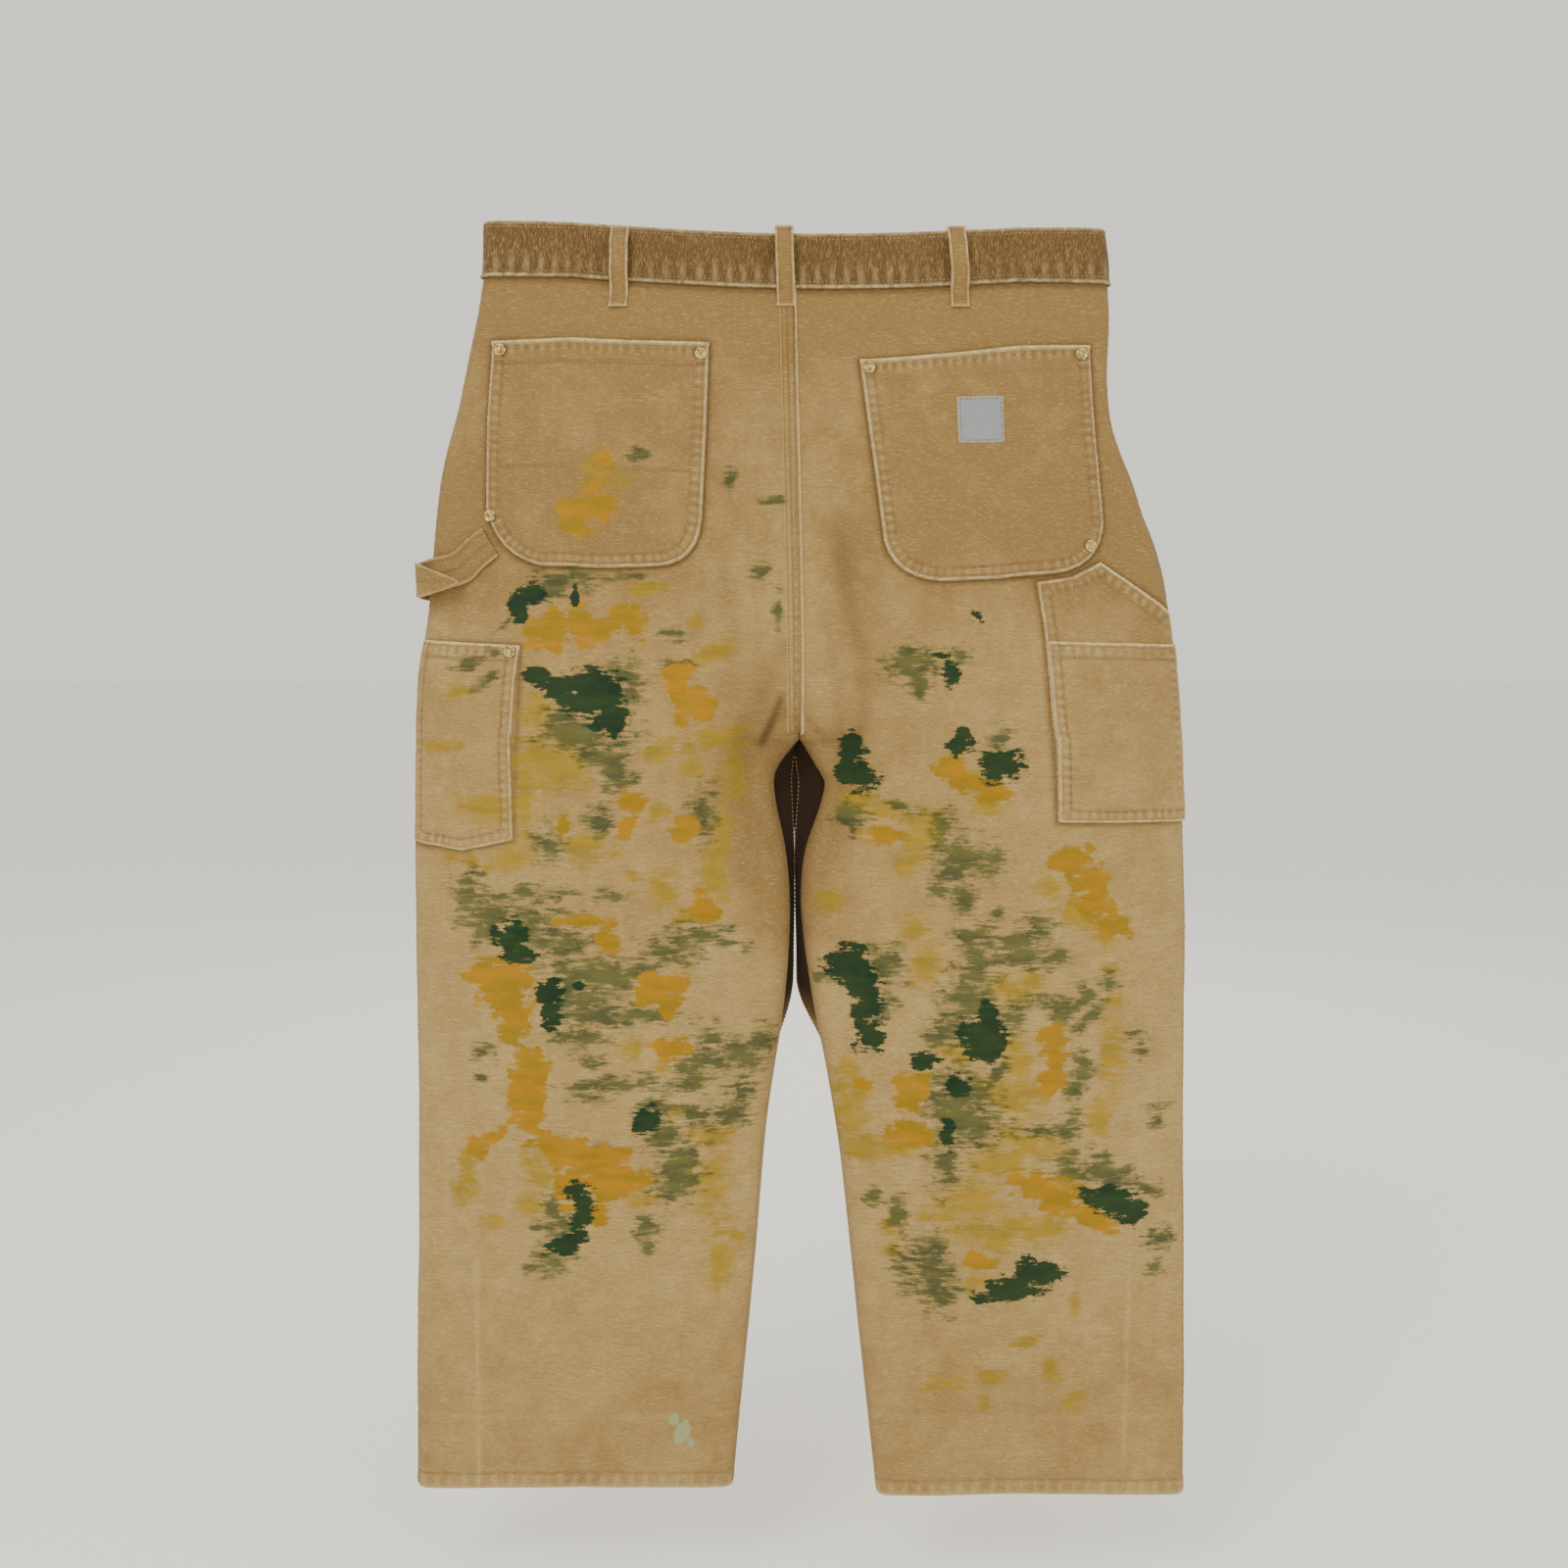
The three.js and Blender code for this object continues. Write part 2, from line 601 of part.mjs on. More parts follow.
// The zip is straight: made standing at the origin with its top at z = 0 and its face to +y.
const zipTop = pointAt(ZIP_X, ZIP_TOP, true, -ZIP_DEPTH);
const zipBottom = pointAt(ZIP_X, ZIP_BOTTOM, true, -ZIP_DEPTH);
const lean = Math.atan2(zipBottom.y - zipTop.y, zipTop.z - zipBottom.z);
const onZip = (geometry) => geometry.rotateX(lean).translate(ZIP_X, zipTop.y, zipTop.z);
for (const [side, sign] of [["left", -1], ["right", 1]]) {
  const tape = boxAt(2.7, 15, -0.4, 0.4, -TEETH_LENGTH - 8, 4).scale(sign, 1, 1);
  piece("zipper_tape_" + side, onZip(facingOut(tape)), ZIP_TAPE);
  const row = [boxAt(1.5, 2.4, -1.1, 1.1, -TEETH_LENGTH, 0)];
  for (let z = -TEETH_LENGTH + 1; z < -3; z += TOOTH_PITCH) row.push(boxAt(0.8, 1.9, -1.3, 1.3, z, z + 3.2));
  piece("zipper_teeth_" + side, onZip(facingOut(united(row).scale(sign, 1, 1))), BRASS);
  const topStop = boxAt(0.8, 2.4, -1.6, 1.6, 0.4, 3.4).scale(sign, 1, 1);
  piece("zipper_top_stop_" + side, onZip(facingOut(topStop)), BRASS);
}
const bottomStop = boxAt(-2.4, 2.4, -1.6, 1.6, -TEETH_LENGTH - 4, -TEETH_LENGTH - 0.4);
piece("zipper_bottom_stop", onZip(bottomStop), BRASS);

const SLIDER_LENGTH = 11;
const SLIDER_FACE = 2.5;
const SLIDER_TOP = -1; // just under the top stops, when closed
const PULL_AXIS_Z = SLIDER_TOP - 3.5;
function slider() {
  const plate = (y) => boxAt(-4.2, 4.2, y, y + 0.8, SLIDER_TOP - SLIDER_LENGTH, SLIDER_TOP);
  const bridge = boxAt(-0.45, 0.45, -2, 2, SLIDER_TOP - 4, SLIDER_TOP);
  const lug = boxAt(-0.8, 0.8, SLIDER_FACE - 0.3, SLIDER_FACE + 2.2, PULL_AXIS_Z - 1.6, PULL_AXIS_Z + 1.6);
  const eye = new THREE.CylinderGeometry(0.75, 0.75, 6, 12).rotateZ(Math.PI / 2);
  eye.translate(0, SLIDER_FACE + 1.1, PULL_AXIS_Z);
  return cut(united([plate(SLIDER_FACE - 0.8), plate(-SLIDER_FACE), bridge, lug]), [eye]);
}
piece("zipper_slider", onZip(slider()), BRASS);
function pull() {
  const y = SLIDER_FACE + 1.1;
  const pin = new THREE.CylinderGeometry(0.45, 0.45, 4.6, 10).rotateZ(Math.PI / 2);
  pin.translate(0, y, PULL_AXIS_Z);
  const arms = [-1, 1].map((s) =>
    boxAt(s > 0 ? 1.2 : -2.3, s > 0 ? 2.3 : -1.2, y - 0.5, y + 0.5, PULL_AXIS_Z - 4, PULL_AXIS_Z + 0.6),
  );
  const tab = boxAt(-2.3, 2.3, y - 0.5, y + 0.5, PULL_AXIS_Z - 20, PULL_AXIS_Z - 2.6);
  return united([pin, ...arms, tab]);
}
piece("zipper_pull", onZip(pull()), BRASS);

// The shield hangs behind the zip from the waistband; the button's tack goes through its top.
const SHIELD = [
  [-2, 4.4],
  [-36, 4.4],
  [-50, 13.2],
  [-120, 13.2],
  [-206, 13.2],
];
function shield() {
  const x = [-19, -8, 2, 14, 22];
  const at = (extra) => (r, c) => {
    const [half, u] = locate(x[c], -60, true);
    return cloth(half, u, SHIELD[r][0], -SHIELD[r][1] - extra);
  };
  return sheet(SHIELD.length, x.length, at(0), at(CLOTH));
}
const tackHole = stand(rod(1.7, -12, 0, 10), buttonAt.clone(), buttonOut);
piece("fly_shield", cut(shield(), [tackHole]), CANVAS);

// ---------- waist button ----------
const TACK = [
  [0, -7.6],
  [4.6, -7.4],
  [4.8, -6.5],
  [1.3, -6.5],
  [1.3, 3.6],
  [0, 3.9],
];
const BUTTON = [
  [1.7, -3.2],
  [2.7, -3.2],
  [2.7, 2.6],
  [8.2, 2.6],
  [8.6, 3.6],
  [8.0, 4.8],
  [6.6, 4.4],
  [0, 5.0],
  [0, 4.3],
  [1.7, 4.3],
  [1.7, -3.2],
];
piece("button_tack", stand(turned(TACK, 12), buttonAt.clone(), buttonOut), BRASS);
piece("waist_button", stand(turned(BUTTON, 18), buttonAt.clone(), buttonOut), BRASS);

// ---------- belt loops ----------
const LOOP_WIDTH = 14;
const loops = [
  ["belt_loop_back_left", -131, false],
  ["belt_loop_back_centre", -7, false],
  ["belt_loop_back_right", 123.5, false],
  ["belt_loop_front_left", -104, true],
  ["belt_loop_front_right", 104, true],
];
function beltLoop(x, frontSide) {
  const top = locate(x, -10, frontSide)[2] + 8;
  const path = [
    [top - 1, 2.8],
    [top - 6, 3.0],
    [top - 12, 7.2],
    [top - 22, 8.4],
    [top - 34, 7.2],
    [top - 44, 3.2],
    [top - 50, 0.9],
    [top - 61, 0.7],
  ];
  const thick = 1.9;
  const across = [-LOOP_WIDTH / 2, 0, LOOP_WIDTH / 2];
  const at = (extra) => (r, c) => {
    const [level, out] = path[r];
    const [half, u] = locate(x, -30, frontSide);
    const middle = cloth(half, u, level, out + extra);
    return middle.add(new THREE.Vector3(across[c], 0, 0));
  };
  return sheet(path.length, across.length, at(thick), at(0));
}
for (const [name, x, frontSide] of loops) piece(name, beltLoop(x, frontSide), CANVAS);

// ---------- hammer loop ----------
// A strap from the edge of the left back pocket that curls out past the side seam and back to it.
// Each row holds the strap's upper and lower edge: first as [x, z] on the cloth, then free as [x, y, z].
const STRAP_ON_CLOTH = [
  [[-237, -229], [-224.5, -250]],
  [[-249, -238], [-236, -259]],
  [[-261, -248], [-247, -269]],
];
const STRAP_FREE = [
  [[-276, -19, -252], [-266, -25, -276]],
  [[-285, -13, -254], [-279, -17, -279]],
  [[-289, -4, -255], [-288, -5, -281]],
  [[-288.5, 5, -256], [-288, 5, -282]],
  [[-284, 12, -258], [-284, 12, -283]],
  [[-277.5, 14, -259], [-278.5, 14, -284]],
];
function hammerLoop() {
  const onCloth = STRAP_ON_CLOTH.map((edges) => edges.map(([x, z]) => pointAt(x, z, false, 1.3)));
  const free = STRAP_FREE.map((edges) => edges.map((p) => new THREE.Vector3(...p)));
  const rows = [...onCloth, ...free];
  const outOf = (r) => {
    const ahead = rows[Math.min(r + 1, rows.length - 1)][0].clone().sub(rows[Math.max(r - 1, 0)][0]);
    return ahead.cross(rows[r][1].clone().sub(rows[r][0])).normalize();
  };
  return sheet(
    rows.length,
    2,
    (r, c) => rows[r][c].clone().addScaledVector(outOf(r), CLOTH),
    (r, c) => rows[r][c].clone(),
  );
}
piece("hammer_loop", hammerLoop(), CANVAS);

// ---------- rivets ----------
for (const row of rivets) piece(row[0], rivet(row), BRASS);

export default garment;
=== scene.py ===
"""Worn, paint-smeared canvas work trousers hanging by the waistband, seen from behind."""

import math

import bpy
import numpy as np
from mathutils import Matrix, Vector

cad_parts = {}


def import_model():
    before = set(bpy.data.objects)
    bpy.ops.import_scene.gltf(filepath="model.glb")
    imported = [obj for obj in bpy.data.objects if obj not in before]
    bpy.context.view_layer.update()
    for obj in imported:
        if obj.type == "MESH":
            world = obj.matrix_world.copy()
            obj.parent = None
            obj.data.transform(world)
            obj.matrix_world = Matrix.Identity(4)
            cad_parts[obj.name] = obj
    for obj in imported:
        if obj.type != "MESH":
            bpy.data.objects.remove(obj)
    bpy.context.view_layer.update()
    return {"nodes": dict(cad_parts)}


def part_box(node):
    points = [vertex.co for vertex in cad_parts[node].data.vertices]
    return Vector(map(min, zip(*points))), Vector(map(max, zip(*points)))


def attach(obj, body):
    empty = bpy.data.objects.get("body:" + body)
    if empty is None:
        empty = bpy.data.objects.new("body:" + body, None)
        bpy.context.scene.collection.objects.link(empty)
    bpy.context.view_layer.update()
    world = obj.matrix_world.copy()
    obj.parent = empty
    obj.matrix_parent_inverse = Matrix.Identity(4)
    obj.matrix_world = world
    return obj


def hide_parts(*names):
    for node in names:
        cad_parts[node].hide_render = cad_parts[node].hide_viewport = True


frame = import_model()

# ---------------------------------------------------------------------------------------------
# The hanging cloth. Everything is worked out in millimetres and turned to metres in a mesh.
# ---------------------------------------------------------------------------------------------
CROTCH_Z = -387
RISE_BEND = 85  # height over which the rise seam curves under to the crotch
WAIST_TILT = -0.012
WAIST_SAG = 8
CLIP_X = 169
CLIP_PINCH = 0.36
LEG_LENGTH = 1000
HEM_RISE = 5
BAND_HEIGHT = 41
ROUND_HALF = 520  # about how far it is round one half of the garment

# Distances from x = 0 listed against height.
LEFT_OUTER = [(0, 235), (-42, 236), (-130, 256), (-190, 271), (-290, 281), (-350, 290), (-475, 295),
              (-720, 298), (-993, 303)]
LEFT_INNER = [(-387, -3), (-405, 11), (-420, 16), (-475, 6), (-520, 3), (-590, 7), (-690, 21), (-825, 33),
              (-993, 49)]
RIGHT_OUTER = [(0, 235), (-60, 240), (-140, 243), (-195, 262), (-265, 285), (-350, 296), (-475, 304),
               (-720, 309), (-999, 315)]
RIGHT_INNER = [(-387, 5), (-405, 16), (-422, 24), (-475, 8), (-520, 5), (-590, 14), (-650, 26), (-720, 37),
               (-865, 52), (-999, 67)]
HALF_DEPTH = [(0, 14), (-42, 15), (-100, 24), (-190, 36), (-290, 42), (-387, 44), (-475, 42), (-600, 36),
              (-800, 27), (-1000, 18)]
EDGE_RADIUS = [(0, 9), (-42, 9.5), (-190, 14), (-387, 20), (-475, 20), (-700, 16), (-1000, 11)]
BACK_SEAM_X = [(0, -4), (-70, -2), (-290, 3), (-387, 4)]
FRONT_SEAM_X = [(0, 6), (-190, 6), (-290, 4), (-387, 4)]


def curve(pairs):
    """A smooth function through (height, value) pairs, level past its ends."""
    z, v = np.array(sorted(pairs), float).T
    ahead = np.minimum(np.arange(len(z)) + 1, len(z) - 1)
    behind = np.maximum(np.arange(len(z)) - 1, 0)
    slope = (v[ahead] - v[behind]) / (z[ahead] - z[behind])

    def at(q):
        q = np.clip(q, z[0], z[-1])
        i = np.clip(np.searchsorted(z, q, side="right") - 1, 0, len(z) - 2)
        h = z[i + 1] - z[i]
        t = (q - z[i]) / h
        s = t * t * (3 - 2 * t)
        return v[i] * (1 - s) + v[i + 1] * s + h * t * (1 - t) * ((1 - t) * slope[i] - t * slope[i + 1])

    return at


half_depth = curve(HALF_DEPTH)
edge_radius = curve(EDGE_RADIUS)
back_seam_x = curve(BACK_SEAM_X)
front_seam_x = curve(FRONT_SEAM_X)


def smoothstep(a, b, x):
    t = np.clip((x - a) / (b - a), 0, 1)
    return t * t * (3 - 2 * t)


def bell(d, at, width):
    """1 where d equals at, falling off smoothly over a width on both sides."""
    return np.exp(-(((d - at) / width) ** 2))


def pillow(near, far, radius, depth, closed, count):
    """Half a pillow section from its middle, or its near edge if closed, round to its far edge."""
    middle = (near + far) / 2 if closed else near
    start = near + radius if closed else near
    x = np.linspace(start, far - radius, 60)
    t = np.minimum(1, np.abs(x - middle) / (far - radius - middle))
    y = radius + (depth - radius) * (1 - t**2.6)
    a = np.linspace(0, math.pi / 2, 14)
    x = np.concatenate([x, far - radius * (1 - np.sin(a[1:]))])
    y = np.concatenate([y, radius * np.cos(a[1:])])
    if closed:
        x = np.concatenate([near + radius * (1 - np.cos(a[:-1])), x])
        y = np.concatenate([radius * np.sin(a[:-1]), y])
    along = np.concatenate([[0], np.cumsum(np.hypot(np.diff(x), np.diff(y)))])
    even = np.linspace(0, along[-1], count)
    return np.interp(even, along, x), np.interp(even, along, y)


class Half:
    """One half of the garment as a fine net: u runs 0 (back centre), 0.5 (side seam), 1 (front centre)."""

    STEP = 2.6  # height between rows
    COLUMNS = 121  # stations across one panel

    def __init__(self, sign, hem, outer, inner):
        self.sign = sign
        self.hem = hem
        self.outer = curve(outer)
        self.inner = curve(inner)
        self.rows = int(-hem / self.STEP) + 1
        self.levels = np.linspace(0, hem, self.rows)
        self.stations = np.linspace(0, 1, 2 * self.COLUMNS - 1)
        self.base = np.array([self.section(z) for z in self.levels])
        self.base_normal = self.normals(self.base)

    def side(self, z, front):
        seam = self.sign * float(front_seam_x(z) if front else back_seam_x(z))
        inner = seam if z > CROTCH_Z else float(self.inner(z))
        shape = (float(self.outer(z)), float(edge_radius(z)), float(half_depth(z)))
        above = min(1, max(0, (z - CROTCH_Z) / RISE_BEND))
        leg = 1 - math.sqrt(1 - (1 - above) ** 2)
        seat = np.array(pillow(seam, *shape, False, self.COLUMNS))
        tube = np.array(pillow(inner, *shape, True, self.COLUMNS))
        return seat * (1 - leg) + tube * leg

    def section(self, z):
        back = self.side(z, False)
        front = self.side(z, True)[:, ::-1][:, 1:]
        x = self.sign * np.concatenate([back[0], front[0] - self.swell(z, *front)])
        y = np.concatenate([-back[1], front[1]])
        pinch = CLIP_PINCH * np.exp(-(((np.abs(x) - CLIP_X) / 28) ** 2) - (z / 55) ** 2)
        fade = 1 + z / LEG_LENGTH
        dip = WAIST_SAG * np.maximum(0, 1 - (x / CLIP_X) ** 2)
        low = min(1, max(0, (-z - 880) / 100))
        lift = HEM_RISE * low * low * np.abs(np.sin(2 * math.pi * self.stations))
        return np.stack([x, y * (1 - pinch), z + fade * (WAIST_TILT * x - dip) + lift], 1)

    def swell(self, z, x, y):
        """How far the front of the leg fills the gap between the legs, behind their back seams."""
        inner = float(self.inner(z))
        amount = float(smoothstep(-383, -391, z) * smoothstep(-640, -575, z)) * (inner + 3)
        return amount * smoothstep(0, 10, y) * (1 - smoothstep(25, 75, x - inner))

    def normals(self, points):
        across = np.gradient(points, axis=1)
        down = np.gradient(points, axis=0)
        closed = self.levels < CROTCH_Z
        wrap = points[closed, 1] - points[closed, -2]
        across[closed, 0] = wrap
        across[closed, -1] = wrap
        n = -self.sign * np.cross(across, down)
        return n / np.linalg.norm(n, axis=2, keepdims=True)

    def shape(self, relief):
        """Push the cloth out by a height given at every point of the net."""
        self.points = self.base + self.base_normal * relief[:, :, None]
        self.normal = self.normals(self.points)
        self.index_backs()

    def index_backs(self):
        """Tables of u against distance from x = 0, for the back and for the front."""
        self.reach = np.arange(0, 330, 2.0)
        middle = self.COLUMNS - 1
        self.table = {}
        for front in (False, True):
            columns = slice(middle, None) if front else slice(0, middle + 1)
            x = self.sign * self.points[:, columns, 0]
            u = self.stations[columns]
            order = slice(None, None, -1) if front else slice(None)
            rows = [np.interp(self.reach, np.maximum.accumulate(row[order]), u[order]) for row in x]
            self.table[front] = np.array(rows)

    def sample(self, table, level, column):
        """Bilinear look-up in a (rows, columns, ...) table at fractional row and column."""
        r = np.clip(np.asarray(level) / self.levels[-1] * (self.rows - 1), 0, self.rows - 1.001)
        c = np.clip(column, 0, table.shape[1] - 1.001)
        i, j = r.astype(int), c.astype(int)
        s, t = r - i, c - j
        if table.ndim == 3:
            s, t = s[..., None], t[..., None]
        top = table[i, j] * (1 - t) + table[i, j + 1] * t
        low = table[i + 1, j] * (1 - t) + table[i + 1, j + 1] * t
        return top * (1 - s) + low * s

    def at(self, u, level, offset=0.0):
        """Points of the shaped cloth, moved out along its normal by offset."""
        column = np.asarray(u) * (len(self.stations) - 1)
        p = self.sample(self.points, level, column)
        n = self.sample(self.normal, level, column)
        return p + n * np.asarray(offset)[..., None] if np.ndim(offset) else p + n * offset

    def find(self, x, z, front=False):
        """u and level of the cloth that hangs at (x, z)."""
        x, z = np.asarray(x, float), np.asarray(z, float)
        level = z.copy()
        for _ in range(4):
            u = self.sample(self.table[front], level, self.sign * x / 2.0)
            level = level + z - self.sample(self.points, level, u * (len(self.stations) - 1))[..., 2]
        return u, level


left = Half(-1, -993, LEFT_OUTER, LEFT_INNER)
right = Half(1, -999, RIGHT_OUTER, RIGHT_INNER)


# ---------------------------------------------------------------------------------------------
# Noise and distances
# ---------------------------------------------------------------------------------------------
def noise(x, z, size_x, size_z, seed):
    """Smooth noise from -1 to 1 with bumps of the given size."""
    lattice = np.random.default_rng(seed).uniform(-1, 1, (97, 101))
    a, b = np.asarray(x) / size_x, np.asarray(z) / size_z
    i, j = np.floor(a).astype(int), np.floor(b).astype(int)
    s, t = a - i, b - j
    s, t = s * s * (3 - 2 * s), t * t * (3 - 2 * t)

    def corner(di, dj):
        return lattice[(i + di) % 97, (j + dj) % 101]

    top = corner(0, 0) * (1 - s) + corner(1, 0) * s
    low = corner(0, 1) * (1 - s) + corner(1, 1) * s
    return top * (1 - t) + low * t


def distance(x, z, line):
    """Distance from points to a polyline, and how far along it the nearest place is, from 0 to 1."""
    best = np.full(np.shape(x), 1e9)
    along = np.zeros(np.shape(x))
    pairs = list(zip(line[:-1], line[1:]))
    lengths = [math.dist(a, b) for a, b in pairs]
    total, done = sum(lengths), 0.0
    for ((ax, az), (bx, bz)), length in zip(pairs, lengths):
        t = np.clip(((x - ax) * (bx - ax) + (z - az) * (bz - az)) / length**2, 0, 1)
        d = np.hypot(x - ax - t * (bx - ax), z - az - t * (bz - az))
        along = np.where(d < best, (done + t * length) / total, along)
        best = np.minimum(best, d)
        done += length
    return best, along


def bend(a, corner, b, count=7):
    """Points round a corner from a to b."""
    t = np.linspace(0, 1, count)
    path = [(1 - t) ** 2 * p + 2 * t * (1 - t) * c + t**2 * q for p, c, q in zip(a, corner, b)]
    return list(zip(*[line.tolist() for line in path]))


# ---------------------------------------------------------------------------------------------
# Relief: how far the cloth stands out from the plain hung shape, in millimetres
# ---------------------------------------------------------------------------------------------
# Soft folds on the back: a line of points, how wide it is, and how far it stands out.
FOLDS = [
    ([(34, -235), (41, -289), (54, -334), (52, -378), (38, -415)], 12, -4.6),
    ([(64, -270), (78, -330), (80, -390)], 19, 3.0),
    ([(-51, -265), (-46, -319), (-55, -360)], 12, -3.0),
    ([(-95, -280), (-80, -330), (-84, -372)], 14, -1.8),
    ([(-2, -312), (-26, -360), (-40, -393), (-34, -438), (-19, -475)], 8, -2.6),
    ([(-16, -350), (-24, -393), (-18, -440)], 7, 1.6),
    ([(25, -304), (35, -363), (37, -415), (30, -468), (22, -498)], 7, -2.4),
    ([(14, -370), (22, -415), (20, -450)], 6, 1.8),
    ([(-6, -366), (-25, -391)], 5, -2.6),
    ([(9, -372), (22, -386)], 5, -2.0),
    ([(-225, -262), (-190, -300), (-120, -330)], 26, 1.2),
    ([(-250, -120), (-246, -205)], 12, -1.2),
    ([(250, -270), (262, -205)], 14, -1.6),
    ([(-40, -480), (-90, -560), (-100, -660)], 30, -1.3),
    ([(70, -500), (110, -600), (120, -700)], 32, -1.3),
    ([(-230, -560), (-240, -700), (-236, -860)], 26, -1.0),
    ([(240, -560), (250, -700), (246, -860)], 26, -1.0),
]
PRESS_LINES = [([(-250, -800), (-251, -985)], 1.0), ([(264, -745), (263, -988)], 1.0)]
OLD_HEM_Z = -930


def groove(d, at, width, depth):
    """A dip of the given depth centred a distance at from an edge."""
    return -depth * bell(d, at, width)


def puckers(along, pitch, seed):
    """Uneven ripples running across a line of stitches."""
    wander = noise(along, 0 * along, pitch * 4, 1.0, seed)
    return np.sin(2 * math.pi * along / pitch + 2.4 * wander) * (0.65 + 0.35 * wander)


def relief_of(half):
    p = half.base
    x, z = p[..., 0], p[..., 2]
    level = half.levels[:, None] + 0 * x
    u = half.stations[None, :] + 0 * x
    back = u <= 0.5
    h = 1.5 * noise(x, z, 90, 140, 1 if half is left else 2)
    h += 0.55 * noise(x, z, 34, 60, 3) + 0.22 * noise(x, z, 15, 22, 4) + 0.09 * noise(x, z, 6, 8, 5)
    h = np.where(back, h, h * 0.9 + 0.8 * noise(x, z, 60, 110, 6))
    for line, width, height in FOLDS:
        d, along = distance(x, z, line)
        ends = np.clip(4 * np.minimum(along, 1 - along) + 0.25, 0, 1)
        fold = height * bell(d, 0, width) * ends
        h += np.where(back, fold, 0.35 * fold)
    for line, height in PRESS_LINES:
        h += np.where(back, height * bell(distance(x, z, line)[0], 0, 2.2), 0)
    h += groove(level, OLD_HEM_Z, 2.5, 0.5)
    # Hem: a fold held by one row of stitches, with ripples between.
    hem = level - half.hem
    h += 0.7 * (1 - smoothstep(13, 16, hem)) + groove(hem, 12.5, 1.8, 0.9)
    h += 0.4 * puckers(x, 11, 7) * bell(hem, 7, 6)
    h -= 1.6 * (1 - smoothstep(0, 4, hem))
    # Side seam: a felled ridge with ripples.
    edge = np.abs(u - 0.5) * ROUND_HALF
    h += 0.9 * np.exp(-((edge / 5) ** 4)) + 0.25 * puckers(z, 9, 8) * bell(edge, 0, 7)
    # The cloth is gathered a little where it is sewn to the waistband.
    h += 0.5 * puckers(x, 12, 9) * bell(level, -BAND_HEIGHT, 14)
    # Held still where the two halves meet and at the top, so that edges stay together.
    rise = np.minimum(np.abs(u), np.abs(1 - u)) * ROUND_HALF
    hold = np.where(level > CROTCH_Z - 25, smoothstep(0, 22, rise), smoothstep(0, 6, rise) * 0.7 + 0.3)
    return h * hold * smoothstep(0, -25, level) * 0.9


for half in (left, right):
    half.shape(relief_of(half))


def on_cloth(x, z, front=False, offset=0.0):
    """Points on the garment at (x, z), moved out by offset."""
    x, z = np.broadcast_arrays(np.asarray(x, float), np.asarray(z, float))
    seam = front_seam_x(z) if front else back_seam_x(z)
    parts = [half.at(*half.find(x, z, front), offset) for half in (left, right)]
    return np.where((x < seam)[..., None], parts[0], parts[1])


def out_of_cloth(x, z, front=False):
    step = on_cloth(x, z, front, 1.0) - on_cloth(x, z, front, 0.0)
    return step / np.linalg.norm(step, axis=-1, keepdims=True)


# ---------------------------------------------------------------------------------------------
# Paint: each mark is (x, z, half width, half height, tilt in degrees)
# ---------------------------------------------------------------------------------------------
SOLID_GREEN = [
    # left leg
    (-200, -277, 9, 9, 0), (-166, -279, 3, 9, 0), (-209, -291, 7, 10, 15), (-192, -344, 11, 7, -20),
    (-154, -347, 20, 10, 0), (-179, -355, 13, 6, -30), (-150, -360, 19, 13, 0), (-140, -374, 11, 13, 0),
    (-218, -541, 11, 13, 0), (-209, -555, 14, 5, 0), (-164, -578, 4, 4, 0), (-189, -581, 9, 11, 0),
    (-187, -602, 8, 11, 0), (-115, -685, 9, 11, 0), (-170, -741, 11, 6, 0), (-164, -750, 9, 7, 0),
    (-166, -762, 7, 10, -30), (-177, -785, 15, 7, 22),
    # right leg
    (138, -296, 5, 2, -30), (112, -326, 9, 2, -20), (119, -341, 6, 10, 0), (127, -385, 4, 6, 0),
    (126, -392, 9, 8, 0), (45, -393, 8, 10, 0), (157, -409, 15, 11, 0), (40, -409, 5, 16, 0),
    (49, -417, 13, 12, 0), (40, -563, 15, 13, 0), (52, -578, 13, 14, 0), (58, -596, 10, 12, 0),
    (149, -601, 5, 9, 0), (144, -618, 16, 13, 0), (57, -623, 11, 11, 0), (148, -632, 9, 9, 0),
    (101, -639, 11, 7, 20), (126, -657, 9, 8, 0), (119, -697, 5, 12, 0), (247, -751, 21, 9, -14),
    (268, -759, 10, 11, 0), (192, -809, 18, 12, 10), (171, -822, 24, 10, 14),
]
